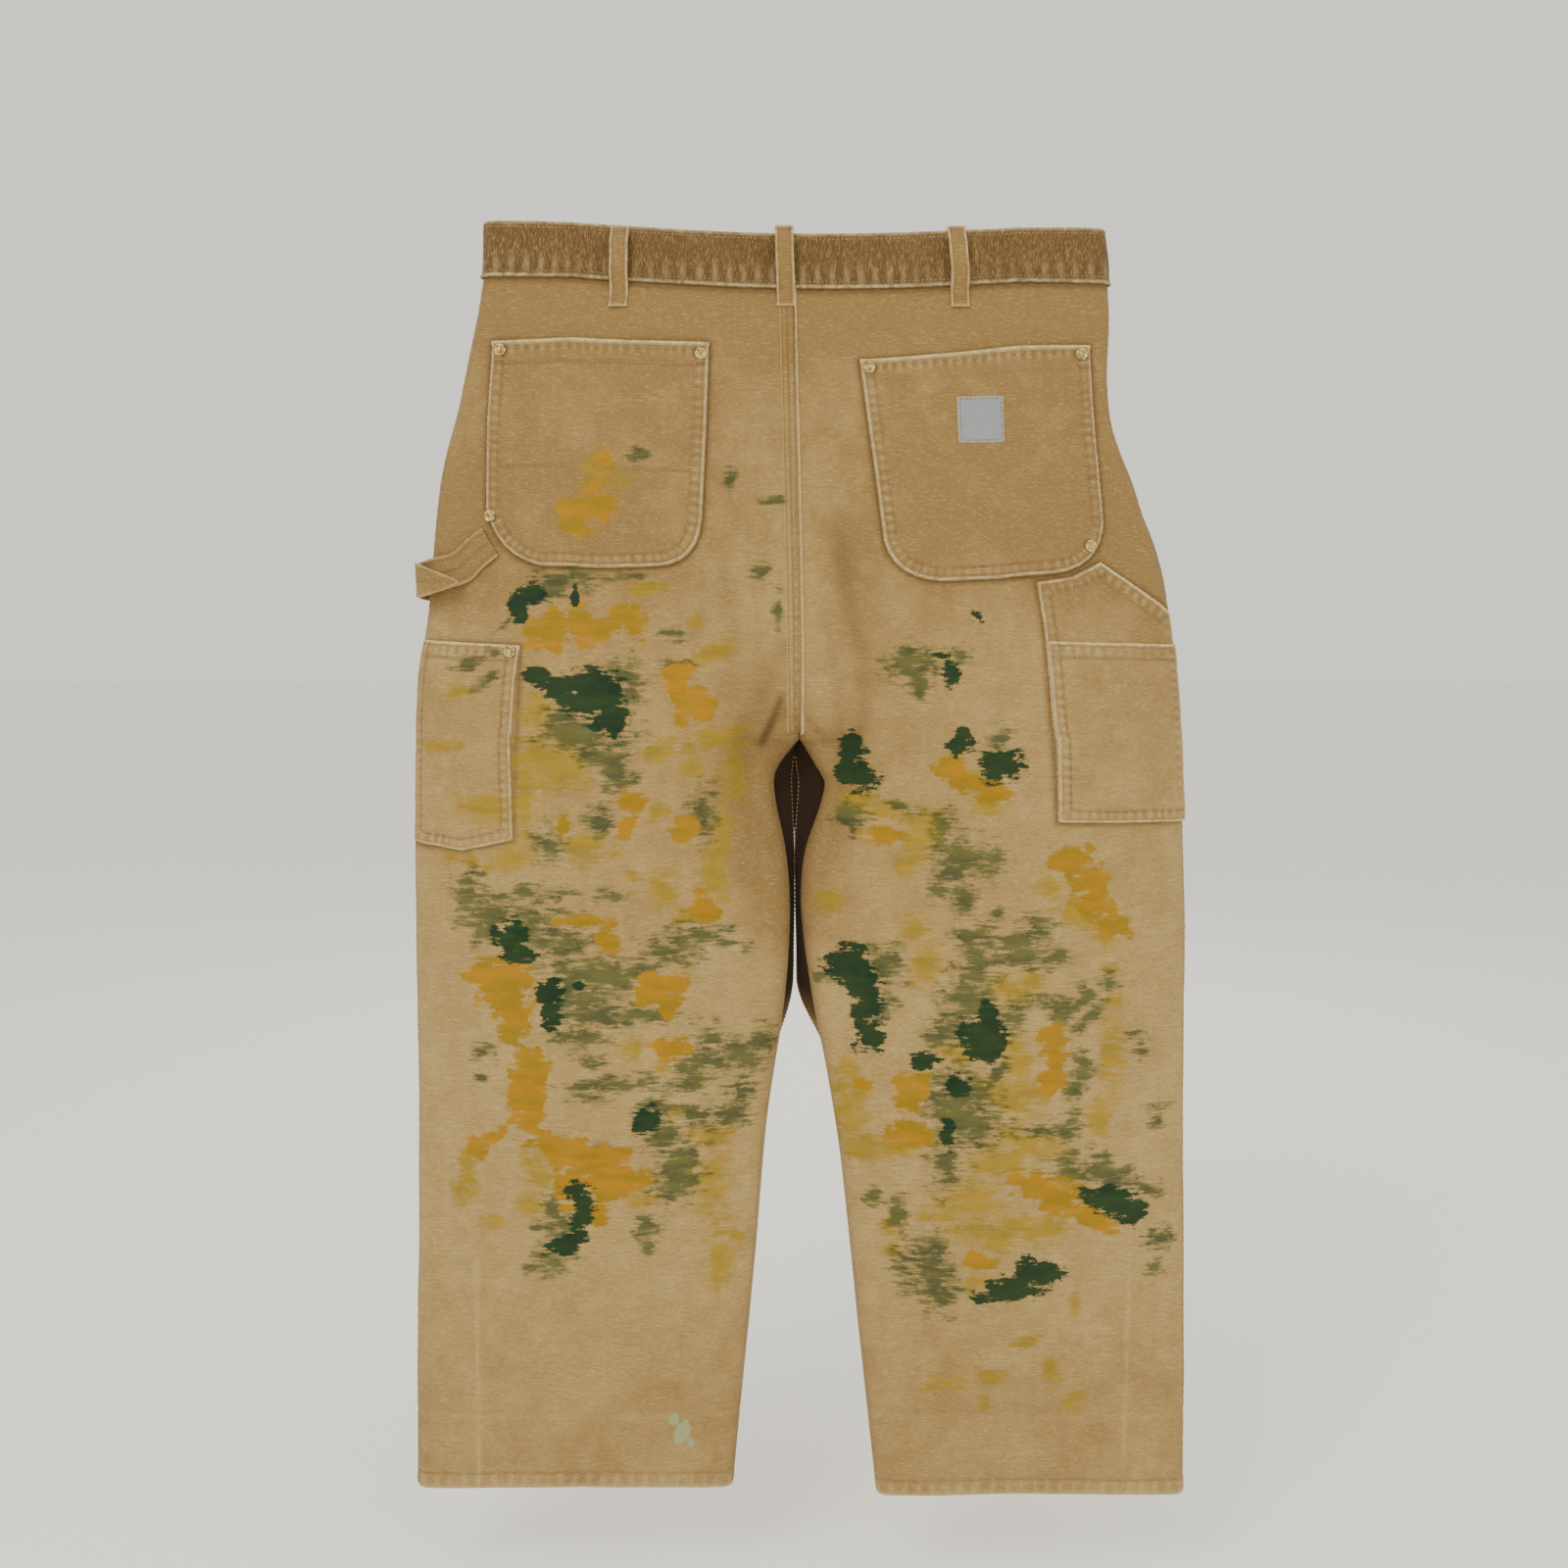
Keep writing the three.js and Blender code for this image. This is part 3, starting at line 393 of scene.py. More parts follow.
DRY_GREEN = [
    # left leg
    (-116, -176, 8, 4, 0), (-49, -192, 4, 6, 0), (-16, -209, 7, 3, 0), (-25, -262, 7, 7, 0),
    (-121, -266, 11, 3, 0), (-159, -268, 9, 7, 0), (-183, -273, 17, 9, 15), (-12, -292, 3, 11, 0),
    (-217, -298, 9, 2, 45), (-91, -310, 9, 4, 0), (-229, -322, 5, 3, 0), (-90, -332, 10, 4, 0),
    (-250, -333, 9, 4, 10), (-130, -339, 13, 10, 0), (-234, -344, 10, 4, 35), (-125, -356, 9, 11, 0),
    (-174, -376, 13, 8, -20), (-158, -385, 29, 10, 0), (-141, -405, 15, 8, -15),
    (-135, -417, 11, 9, -20), (-69, -446, 10, 17, 0), (-146, -450, 10, 9, 0), (-186, -470, 9, 13, 0),
    (-205, -505, 11, 4, 0), (-177, -506, 13, 3, 0), (-140, -508, 11, 4, 0), (-251, -509, 9, 14, 0),
    (-228, -509, 13, 3, 0), (-234, -526, 18, 14, 0), (-192, -538, 21, 18, 0), (-68, -539, 22, 8, -18),
    (-167, -543, 15, 6, 0), (-92, -551, 22, 9, 0), (-161, -568, 33, 12, 0), (-138, -572, 15, 12, 0),
    (-156, -590, 20, 17, 0), (-178, -596, 7, 11, 0), (-123, -602, 34, 5, 0), (-167, -620, 20, 5, 0),
    (-63, -621, 11, 7, 0), (-26, -628, 9, 11, 0), (-241, -633, 8, 7, 0), (-159, -635, 10, 7, 0),
    (-39, -637, 12, 10, 0), (-73, -640, 16, 9, 0), (-244, -654, 6, 3, 0), (-131, -655, 25, 5, 0),
    (-76, -656, 18, 6, 0), (-164, -658, 20, 3, 0), (-42, -662, 10, 10, 0), (-157, -668, 13, 4, 0),
    (-110, -675, 15, 6, 0), (-78, -681, 9, 8, 0), (-50, -684, 13, 8, 0), (-101, -698, 14, 9, 0),
    (-150, -708, 15, 5, -15), (-87, -720, 14, 15, 0), (-95, -732, 12, 17, 0), (-97, -746, 11, 5, 0),
    (-188, -754, 7, 11, 0), (-183, -771, 14, 10, 0), (-115, -771, 8, 7, 0), (-115, -787, 7, 6, 0),
    (-190, -798, 15, 9, 20), (-194, -810, 6, 4, 0),
    # right leg
    (98, -324, 4, 2, -30), (125, -327, 8, 6, 0), (86, -330, 16, 10, 0), (96, -348, 7, 8, 0),
    (153, -390, 9, 10, 0), (83, -440, 11, 3, -15), (43, -451, 11, 9, 0), (114, -454, 7, 10, 0),
    (126, -476, 16, 11, 0), (151, -483, 9, 11, 0), (123, -491, 16, 8, 0), (111, -506, 7, 6, 0),
    (129, -513, 9, 9, 0), (155, -523, 7, 4, 0), (188, -529, 14, 5, 0), (138, -540, 12, 7, 0),
    (171, -544, 21, 5, 0), (172, -556, 26, 7, 0), (199, -557, 7, 10, -40), (68, -563, 13, 14, 0),
    (138, -567, 13, 16, 0), (22, -575, 5, 5, 0), (242, -576, 6, 7, 0), (225, -582, 7, 3, -45),
    (187, -588, 7, 6, -35), (134, -592, 17, 15, 0), (219, -594, 4, 18, -50), (69, -597, 9, 12, 0),
    (206, -597, 11, 9, 0), (169, -604, 7, 9, 0), (227, -604, 4, 18, -50), (114, -617, 12, 11, 0),
    (265, -617, 5, 2, 0), (269, -630, 6, 7, 0), (222, -644, 10, 12, 0), (155, -649, 4, 12, -40),
    (122, -658, 20, 13, 0), (213, -663, 9, 7, 0), (286, -677, 10, 2, 0), (125, -683, 22, 20, 0),
    (142, -689, 14, 13, 0), (284, -691, 5, 5, 0), (214, -691, 9, 10, 0), (190, -693, 11, 5, 0),
    (119, -721, 11, 18, 0), (213, -725, 12, 9, 20), (243, -728, 23, 11, -18), (278, -744, 10, 5, 0),
    (62, -750, 5, 9, 0), (81, -762, 7, 12, 0), (288, -783, 9, 9, 0), (107, -786, 7, 7, 0),
    (103, -807, 18, 17, 0), (286, -807, 7, 6, 0), (112, -823, 12, 17, 0),
]
YELLOW = [
    # left leg
    (-142, -180, 7, 8, 0), (-146, -210, 11, 15, -20), (-164, -218, 11, 15, 0), (-130, -297, 11, 8, 0),
    (-163, -299, 10, 12, 0), (-119, -303, 8, 10, 0), (-200, -307, 7, 12, 0), (-184, -307, 11, 15, 0),
    (-149, -308, 11, 10, 0), (-88, -343, 10, 11, 0), (-86, -360, 6, 17, 0), (-69, -364, 8, 13, 0),
    (-122, -439, 10, 11, 30), (-175, -454, 6, 8, 0), (-128, -456, 6, 9, 0), (-84, -456, 11, 9, 0),
    (-68, -520, 10, 12, 15), (-158, -528, 14, 4, 0), (-181, -529, 6, 4, 0), (-141, -543, 9, 11, 20),
    (-227, -574, 24, 16, 0), (-92, -580, 11, 11, 30), (-112, -581, 11, 9, 30), (-218, -592, 16, 11, 0),
    (-96, -595, 6, 8, 0), (-217, -609, 12, 15, 0), (-95, -628, 16, 9, 0), (-204, -646, 13, 15, 0),
    (-210, -665, 14, 15, 0), (-207, -683, 11, 10, 0), (-236, -701, 15, 5, 28), (-187, -704, 22, 8, 0),
    (-248, -711, 6, 8, 30), (-170, -714, 25, 11, 0), (-144, -722, 18, 13, 0), (-131, -731, 16, 8, 0),
    (-147, -737, 17, 15, 0), (-173, -738, 15, 12, 0), (-173, -755, 10, 3, 0), (-154, -761, 8, 10, 20),
    # right leg
    (121, -411, 13, 11, 0), (126, -420, 12, 7, 0), (151, -428, 13, 9, 0), (71, -462, 16, 7, 0),
    (225, -472, 6, 3, -30), (199, -481, 6, 5, 0), (213, -483, 13, 12, 0), (227, -496, 13, 15, 0),
    (232, -513, 10, 13, 0), (243, -528, 11, 9, -30), (255, -538, 7, 5, -20), (200, -620, 12, 10, 0),
    (202, -638, 8, 18, 0), (198, -656, 10, 10, 0), (98, -659, 6, 12, -25), (53, -660, 8, 4, -10),
    (88, -666, 10, 16, 0), (92, -698, 16, 10, 0), (186, -736, 19, 10, 0), (206, -749, 18, 11, 0),
    (234, -766, 18, 8, -38), (144, -801, 12, 8, 0),
]
OLIVE = [
    # left leg
    (-145, -194, 15, 15, 0), (-112, -275, 13, 5, 0), (-74, -300, 7, 5, 0), (-63, -324, 17, 6, 30),
    (-257, -353, 8, 6, 0), (-196, -368, 10, 15, 0), (-63, -389, 20, 9, 10), (-267, -395, 11, 4, 0),
    (-105, -398, 12, 6, 20), (-197, -402, 11, 11, 0), (-178, -410, 19, 17, 0), (-76, -412, 9, 8, 0),
    (-44, -416, 9, 17, 0), (-205, -435, 7, 21, 0), (-236, -442, 17, 11, 0), (-106, -444, 9, 6, 0),
    (-55, -456, 7, 17, 0), (-159, -470, 17, 10, 0), (-265, -481, 5, 5, 0), (-248, -481, 5, 5, 0),
    (-217, -481, 17, 8, 20), (-122, -491, 6, 5, 0), (-62, -494, 9, 24, 0), (-100, -503, 8, 12, 0),
    (-86, -526, 8, 5, 0), (-124, -627, 11, 7, 0), (-102, -644, 6, 6, 0), (-92, -679, 7, 7, 0),
    (-68, -698, 20, 5, 0), (-198, -719, 11, 14, 0), (-256, -725, 5, 13, 10), (-194, -731, 9, 5, 0),
    (-116, -735, 16, 3, 10), (-66, -736, 12, 28, 0), (-259, -744, 8, 9, 0), (-109, -748, 9, 4, 0),
    (-123, -751, 7, 6, 0), (-205, -754, 10, 10, -20), (-234, -767, 9, 4, 10), (-46, -782, 7, 5, 0),
    (-59, -802, 9, 19, 0),
    # right leg
    (134, -417, 8, 8, 0), (49, -435, 13, 6, 0), (147, -440, 12, 7, 0), (67, -442, 16, 6, -10),
    (105, -456, 10, 13, 0), (91, -472, 10, 14, 0), (87, -484, 9, 7, 0), (196, -499, 11, 8, 0),
    (28, -517, 11, 7, 0), (213, -522, 12, 9, 0), (91, -531, 9, 10, 0), (241, -542, 9, 7, 0),
    (102, -561, 11, 13, 0), (242, -567, 8, 4, 0), (184, -576, 9, 9, 0), (168, -581, 16, 10, 0),
    (246, -591, 7, 7, 0), (126, -632, 18, 7, 0), (173, -635, 11, 15, 0), (246, -635, 9, 24, 0),
    (42, -658, 10, 16, 0), (182, -663, 17, 9, 0), (161, -666, 22, 8, -35), (236, -683, 10, 14, 0),
    (43, -687, 11, 22, 0), (182, -702, 24, 9, -15), (84, -709, 15, 7, 0), (56, -712, 15, 10, 0),
    (156, -719, 25, 11, 0), (223, -741, 6, 18, 35), (136, -748, 22, 13, 0), (107, -763, 14, 4, 0),
    (187, -771, 26, 8, 0), (76, -773, 7, 9, 0), (156, -777, 30, 11, 0), (76, -794, 8, 5, 0),
    (144, -817, 9, 8, 0), (221, -833, 4, 11, 0), (182, -866, 11, 4, 15), (203, -889, 7, 9, 0),
    (157, -894, 13, 5, 0), (120, -902, 16, 6, 20), (220, -916, 8, 7, 0), (151, -919, 5, 10, 0),
]
MINT = [
    # left leg
    (-96, -932, 4, 6, -25), (-89, -943, 6, 11, -25), (-82, -953, 3, 4, 0),
]

PAINTS = {"green": SOLID_GREEN, "dry_green": DRY_GREEN, "yellow": YELLOW, "olive": OLIVE, "mint": MINT}
SPREAD = {"green": 1.18, "dry_green": 1.5, "yellow": 1.16, "olive": 1.45, "mint": 1.0}


def dab_field(x, z, marks, spread):
    """About 1.4 at the middle of a mark and 0.4 at its edge; marks that touch run together."""
    total = np.full(np.shape(x), 1e-4)
    for mx, mz, a, b, tilt in marks:
        a, b = a * spread, b * spread
        near = (np.abs(x - mx) < 2 * (a + b)) & (np.abs(z - mz) < 2 * (a + b))
        dx, dz = x[near] - mx, z[near] - mz
        c, s = math.cos(math.radians(tilt)), math.sin(math.radians(tilt))
        r = np.sqrt(((dx * c + dz * s) / a) ** 2 + ((dz * c - dx * s) / b) ** 2)
        total[near] += np.exp(-4 * r)
    return np.clip(1.4 + np.log(total) / 4, 0, 1.6)


def tone_and_shade(x, z, back):
    """Where the cloth is browner (1) or more faded (-1), as broad soft areas, with shade painted in along
    some fold valleys and the legs' inner edges.
    """
    t = 0.24 * noise(x, z, 55, 75, 21) + 0.22 * noise(x, z, 20, 26, 22) + 0.18 * noise(x, z, 7, 11, 23)
    t += 0.70 * smoothstep(-340, -240, z) + 0.80 * bell(z, -60, 42)
    t += 0.45 * smoothstep(-150, -210, z) * smoothstep(-330, -250, z) * smoothstep(120, 250, np.abs(x))
    t -= 0.45 * bell(x, 0, 42) * smoothstep(-60, -140, z) * smoothstep(-430, -340, z)
    t -= 0.35 * smoothstep(-460, -600, z) * smoothstep(-900, -760, z)
    t += 0.25 * smoothstep(-850, -960, z)
    # Painted shade: darker along the fold valley by the left crotch, along the legs' inner edges by the gap,
    # and down the right thigh's valley.
    inner = distance(x, z, [(-20, -330), (-45, -400), (-30, -480)])[0]
    t += 0.95 * bell(inner, 0, 30)
    for line, amount in (([(-16, -410), (-12, -530)], 0.9), ([(24, -410), (18, -530)], 0.7)):
        t += amount * bell(distance(x, z, line)[0], 0, 26)
    t += 0.45 * bell(distance(x, z, [(30, -240), (46, -320), (44, -400), (40, -450)])[0], 0, 20)
    return np.where(back, t, 0.6 * t)


# ---------------------------------------------------------------------------------------------
# Mesh making
# ---------------------------------------------------------------------------------------------
def make(name, verts, faces, material, fields=None, body="trousers"):
    """A mesh object from points in millimetres, and quads or triangles."""
    mesh = bpy.data.meshes.new(name)
    mesh.from_pydata((np.asarray(verts) / 1000).tolist(), [], faces)
    for field, values in (fields or {}).items():
        mesh.attributes.new(field, "FLOAT", "POINT").data.foreach_set("value", values.astype(np.float32))
    mesh.polygons.foreach_set("use_smooth", np.full(len(mesh.polygons), True))
    mesh.materials.append(material)
    mesh.update()
    made = bpy.data.objects.new(name, mesh)
    bpy.context.collection.objects.link(made)
    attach(made, body)
    return made


def grid_quads(rows, columns, wrap=False):
    r = np.arange(rows - 1)[:, None]
    c = np.arange(columns if wrap else columns - 1)[None, :]
    a, b = r * columns + c, r * columns + (c + 1) % columns
    return np.stack([a, b, b + columns, a + columns], -1).reshape(-1, 4)


def volume(points, quads):
    a, b, c, d = (points[quads[:, i]] for i in range(4))
    return float(np.einsum("ij,ij->", a, np.cross(b, c) + np.cross(c, d)))


def open_edges(quads):
    """The directed edges of some quads that no other quad shares."""
    edges = np.concatenate([quads[:, [k, (k + 1) % 4]] for k in range(4)])
    edges = edges[edges[:, 0] != edges[:, 1]]
    big = int(quads.max()) + 1
    alone = ~np.isin(edges[:, 1] * big + edges[:, 0], edges[:, 0] * big + edges[:, 1])
    return edges[alone]


def closed_shell(outer, inner, quads):
    """Join an outer and an inner sheet with the same quads along their open edges, faces outward."""
    n = len(outer)
    points = np.concatenate([outer, inner])
    edges = open_edges(quads)
    sides = np.stack([edges[:, 1], edges[:, 0], edges[:, 0] + n, edges[:, 1] + n], 1)
    faces = np.concatenate([quads, quads[:, ::-1] + n, sides])
    if volume(points - points.mean(0), faces) < 0:
        faces = faces[:, ::-1]
    return points, faces


def two_sided(fields, n):
    """Fields given on the outer sheet, with none of the paint or wear on the inner one."""
    plain = {"tone": 0.1}
    return {k: np.concatenate([v.ravel(), np.full(n, plain.get(k, 0.0))]) for k, v in fields.items()}


def sheet_object(name, outer, inner, material, fields, keep=None):
    rows, columns = outer.shape[:2]
    o, i = outer.reshape(-1, 3), inner.reshape(-1, 3)
    quads = grid_quads(rows, columns)
    fields = {k: v.ravel() for k, v in fields.items()}
    if keep is not None:
        quads = quads[keep.ravel()]
        used, quads = np.unique(quads, return_inverse=True)
        quads = quads.reshape(-1, 4)
        o, i = o[used], i[used]
        fields = {k: v[used] for k, v in fields.items()}
    points, faces = closed_shell(o, i, quads)
    return make(name, points, faces.tolist(), material, two_sided(fields, len(o)))


def fields_at(points, back=True, tone=0.0, wear=None, shade=None, painted=True):
    x, z = points[..., 0], points[..., 2]
    zero = np.zeros(x.shape)
    fields = {
        "tone": tone_and_shade(x, z, back) + tone,
        "wear": zero if wear is None else wear + zero,
        "shade": zero if shade is None else shade + zero,
    }
    for paint, marks in PAINTS.items():
        fields[paint] = dab_field(x, z, marks, SPREAD[paint]) if back and painted else zero
    return fields


def cloth_area(obj):
    """Half the area of a closed thin sheet, in square metres."""
    a = np.empty(len(obj.data.polygons))
    obj.data.polygons.foreach_get("area", a)
    return float(a.sum()) / 2


def declare(obj, width, length):
    """Work out the area of a sheet of cloth, at most that of a rectangle of width by length in millimetres;
    nothing is kept.
    """
    flat = (width / 1000, length / 1000)
    area = min(cloth_area(obj), flat[0] * flat[1])


# ---------------------------------------------------------------------------------------------
# Materials
# ---------------------------------------------------------------------------------------------
class Nodes:
    """A short way to write a material's nodes."""

    def __init__(self, name):
        self.material = bpy.data.materials.new(name)
        self.material.use_nodes = True
        self.tree = self.material.node_tree
        self.shader = self.tree.nodes["Principled BSDF"]

    def put(self, value, socket):
        if isinstance(value, bpy.types.NodeSocket):
            self.tree.links.new(value, socket)
        else:
            socket.default_value = value

    def field(self, name):
        node = self.tree.nodes.new("ShaderNodeAttribute")
        node.attribute_name = name
        return node.outputs["Fac"]

    def place(self, stretch=(1, 1, 1)):
        """Object coordinates, stretched."""
        node = self.tree.nodes.new("ShaderNodeMapping")
        source = self.tree.nodes.new("ShaderNodeTexCoord")
        self.put(source.outputs["Object"], node.inputs["Vector"])
        node.inputs["Scale"].default_value = stretch
        return node.outputs["Vector"]

    def noise(self, scale, stretch=(1, 1, 1), detail=2.0, rough=0.5):
        node = self.tree.nodes.new("ShaderNodeTexNoise")
        self.put(self.place(stretch), node.inputs["Vector"])
        node.inputs["Scale"].default_value = scale
        node.inputs["Detail"].default_value = detail
        node.inputs["Roughness"].default_value = rough
        return node.outputs["Fac"]

    def wave(self, scale, direction, distortion=0.0):
        node = self.tree.nodes.new("ShaderNodeTexWave")
        node.bands_direction = direction
        self.put(self.place(), node.inputs["Vector"])
        node.inputs["Scale"].default_value = scale
        node.inputs["Distortion"].default_value = distortion
        node.inputs["Detail"].default_value = 1.0
        return node.outputs["Fac"]

    def math(self, operation, a, b=0.0, c=0.0):
        node = self.tree.nodes.new("ShaderNodeMath")
        node.operation = operation
        for value, socket in zip((a, b, c), node.inputs):
            self.put(value, socket)
        return node.outputs[0]

    def span(self, value, low, high, to_low=0.0, to_high=1.0):
        node = self.tree.nodes.new("ShaderNodeMapRange")
        numbers = (value, low, high, to_low, to_high)
        for number, socket in zip(numbers, node.inputs):
            self.put(number, socket)
        return node.outputs["Result"]

    def mix(self, amount, a, b):
        node = self.tree.nodes.new("ShaderNodeMix")
        node.data_type = "RGBA"
        self.put(amount, node.inputs["Factor"])
        self.put(a, node.inputs[6])
        self.put(b, node.inputs[7])
        return node.outputs[2]

    def bump(self, height, strength, distance_m, below=None):
        node = self.tree.nodes.new("ShaderNodeBump")
        node.inputs["Strength"].default_value = strength
        node.inputs["Distance"].default_value = distance_m
        self.put(height, node.inputs["Height"])
        if below is not None:
            self.put(below, node.inputs["Normal"])
        return node.outputs["Normal"]


def srgb(red, green, blue):
    """Linear colour from 0-255 screen values."""
    linear = []
    for value in (red, green, blue):
        share = value / 255
        linear.append(share / 12.92 if value < 10 else ((share + 0.055) / 1.055) ** 2.4)
    return (*linear, 1)


THREAD_PITCH_M = 0.00085
# How each paint lies, in the order the coats were laid: how far blots and threads break its edge, the
# values between which it fades in, its greatest cover, the brush values its two colours span, and those.
PAINT_LOOKS = {
    "olive": (2.6, 2.4, (0.34, 1.05), 0.80, (0.38, 0.62), srgb(138, 114, 14), srgb(160, 128, 20)),
    "dry_green": (2.6, 3.4, (0.40, 1.05), 0.86, (0.40, 0.62), srgb(48, 64, 38), srgb(82, 88, 44)),
    "yellow": (2.8, 1.7, (0.36, 0.62), 0.97, (0.38, 0.60), srgb(168, 118, 0), srgb(140, 110, 0)),
    "green": (2.4, 1.9, (0.38, 0.56), 0.97, (0.40, 0.62), srgb(4, 42, 18), srgb(22, 54, 20)),
    "mint": (1.0, 1.0, (0.34, 0.50), 0.85, (0.40, 0.62), srgb(150, 160, 116), srgb(150, 160, 116)),
}


def bare_cloth(n, faded, plain, brown, streak, fine):
    """The cloth's colour: broad faded and brown areas, dark ribs, grime with painted shade, and pale worn
    threads.
    """
    mottle = n.noise(38.0, (1, 1, 1.4), 4.0, 0.6)
    speck = n.noise(520.0, (1, 1, 1), 2.0, 0.6)
    tone = n.math("ADD", n.field("tone"), n.math("MULTIPLY_ADD", mottle, 1.5, -0.75))
    colour = n.mix(n.span(tone, -0.7, 0.05), faded, plain)
    colour = n.mix(n.span(tone, 0.05, 1.0), colour, brown)
    dark = tuple(0.72 * c for c in plain[:3]) + (1,)
    colour = n.mix(n.span(streak, 0.42, 0.68, 0.0, 0.46), colour, dark)
    colour = n.mix(n.span(fine, 0.45, 0.72, 0.0, 0.46), colour, dark)
    colour = n.mix(n.span(fine, 0.50, 0.25, 0.0, 0.42), colour, srgb(202, 176, 122))
    # The shade field darkens the colour towards dark brown: grime on seams, and painted shade in grooves,
    # fold valleys and pocket corners.
    grime_and_shade = n.math("MULTIPLY", n.field("shade"), n.span(streak, 0.3, 0.6, 0.75, 1.0))
    colour = n.mix(grime_and_shade, colour, srgb(92, 66, 38))
    # Where the shade field passes 1 it paints deep shade: the front panels' hidden side between the legs goes
    # near black.
    colour = n.mix(n.span(n.field("shade"), 1.0, 1.8), colour, srgb(46, 30, 18))
    worn = n.math("MULTIPLY", n.field("wear"), n.span(speck, 0.34, 0.58, 0.55, 1.0))
    return n.mix(worn, colour, srgb(216, 194, 142))


def add_paint(n, colour, brush):
    """The colour with the paints over it, and how thickly it is coated."""
    # Paint catches the raised threads first: a mark breaks up towards its edge along the ribs.
    catch = n.math("ADD", n.noise(1.0, (60, 60, 330), 4.0, 0.75), -0.5)
    blot = n.math("ADD", n.noise(72.0, (1, 1, 1.3), 5.0, 0.62), -0.5)
    cover = {}
    for name, (by_blot, by_catch, fade, top, strokes, first, second) in PAINT_LOOKS.items():
        edge = n.math("MULTIPLY_ADD", blot, by_blot, n.field(name))
        edge = n.math("MULTIPLY_ADD", catch, by_catch, edge)
        cover[name] = n.math("MULTIPLY", n.span(edge, *fade, 0.0, top), n.span(n.field(name), 0.02, 0.2))
        colour = n.mix(cover[name], colour, n.mix(n.span(brush, *strokes), first, second))
    coat = n.math("MAXIMUM", cover["green"], cover["yellow"])
    return colour, n.math("MAXIMUM", coat, n.math("MULTIPLY", cover["mint"], 0.6))


def cloth_material(name, faded, plain, brown, ribs="Z"):
    """Worn cotton duck with faint ribs across it, and paint."""
    n = Nodes(name)
    streak = n.noise(1.0, (55, 55, 620) if ribs == "Z" else (620, 620, 55), 3.0, 0.65)
    fine = n.noise(1.0, (240, 240, 1300) if ribs == "Z" else (1300, 1300, 240), 2.0, 0.6)
    brush = n.noise(1.0, (30, 30, 90), 3.0, 0.6)
    colour, coat = add_paint(n, bare_cloth(n, faded, plain, brown, streak, fine), brush)
    n.put(colour, n.shader.inputs["Base Color"])
    n.put(n.span(coat, 0.0, 1.0, 0.92, 0.58), n.shader.inputs["Roughness"])
    n.shader.inputs["Specular IOR Level"].default_value = 0.16
    n.shader.inputs["Sheen Weight"].default_value = 0.05
    n.shader.inputs["Sheen Roughness"].default_value = 0.6
    weave = n.math("ADD", n.math("MULTIPLY", fine, 0.6), n.math("MULTIPLY", streak, 0.5))
    weave = n.math("ADD", weave, n.math("MULTIPLY", n.wave(0.16 / THREAD_PITCH_M, ribs, 1.2), 0.35))
    weave = n.math("MULTIPLY", weave, n.span(coat, 0.0, 1.0, 1.0, 0.55))
    thick = n.math("MULTIPLY", coat, n.span(brush, 0.3, 0.7, 0.7, 1.0))
    n.put(n.bump(thick, 0.5, 0.0005, n.bump(weave, 0.75, 0.0006)), n.shader.inputs["Normal"])
    return n.material


def metal(name, bright, dark):
    n = Nodes(name)
    tarnish = n.noise(420.0, detail=5.0, rough=0.65)
    scuff = n.noise(1.0, (900, 900, 5200), 2.0, 0.5)
    n.put(n.mix(n.span(tarnish, 0.38, 0.66), bright, dark), n.shader.inputs["Base Color"])
    n.shader.inputs["Metallic"].default_value = 1.0
    n.put(n.span(scuff, 0.3, 0.7, 0.28, 0.52), n.shader.inputs["Roughness"])
    n.put(n.bump(tarnish, 0.25, 0.00012), n.shader.inputs["Normal"])
    return n.material


def woven(name, first, second, scale=900.0):
    """A close plain weave of two thread colours."""
    n = Nodes(name)
    across = n.wave(scale / 6, "X")
    down = n.wave(scale / 6, "Z")
    weave = n.math("MULTIPLY", across, down)
    spots = n.noise(260.0, detail=3.0)
    colour = n.mix(n.span(n.math("ADD", weave, spots), 0.4, 1.3), first, second)
    worn = n.math("MULTIPLY", n.field("wear"), n.span(spots, 0.35, 0.6, 0.4, 1.0))
    n.put(n.mix(worn, colour, srgb(196, 186, 162)), n.shader.inputs["Base Color"])
    n.shader.inputs["Roughness"].default_value = 0.9
    n.shader.inputs["Sheen Weight"].default_value = 0.1
    n.put(n.bump(n.math("ADD", weave, spots), 0.5, 0.0004), n.shader.inputs["Normal"])
    return n.material


def thread_material():
    n = Nodes("thread")
    twist = n.noise(1400.0, (1, 1, 1), 2.0)
    old = n.noise(60.0, detail=3.0)
    colour = n.mix(n.span(old, 0.35, 0.65), srgb(150, 116, 72), srgb(176, 148, 100))
    colour = n.mix(n.span(twist, 0.45, 0.7, 0.0, 0.5), colour, srgb(108, 78, 46))
    n.put(colour, n.shader.inputs["Base Color"])
    n.shader.inputs["Roughness"].default_value = 0.8
    n.put(n.bump(twist, 0.4, 0.0002), n.shader.inputs["Normal"])
    return n.material


CANVAS = cloth_material("canvas", srgb(178, 151, 98), srgb(164, 135, 82), srgb(136, 105, 58))
BAND = cloth_material("band_canvas", srgb(128, 100, 60), srgb(113, 86, 48), srgb(96, 71, 39), ribs="X")
LINING = woven("lining", srgb(206, 198, 178), srgb(178, 166, 140))
LABEL = woven("label", srgb(150, 152, 156), srgb(136, 138, 144), 1300.0)
TAPE = woven("zip_tape", srgb(130, 106, 72), srgb(104, 82, 54), 1100.0)
BRASS = metal("brass", srgb(226, 200, 138), srgb(104, 84, 46))
THREAD = thread_material()


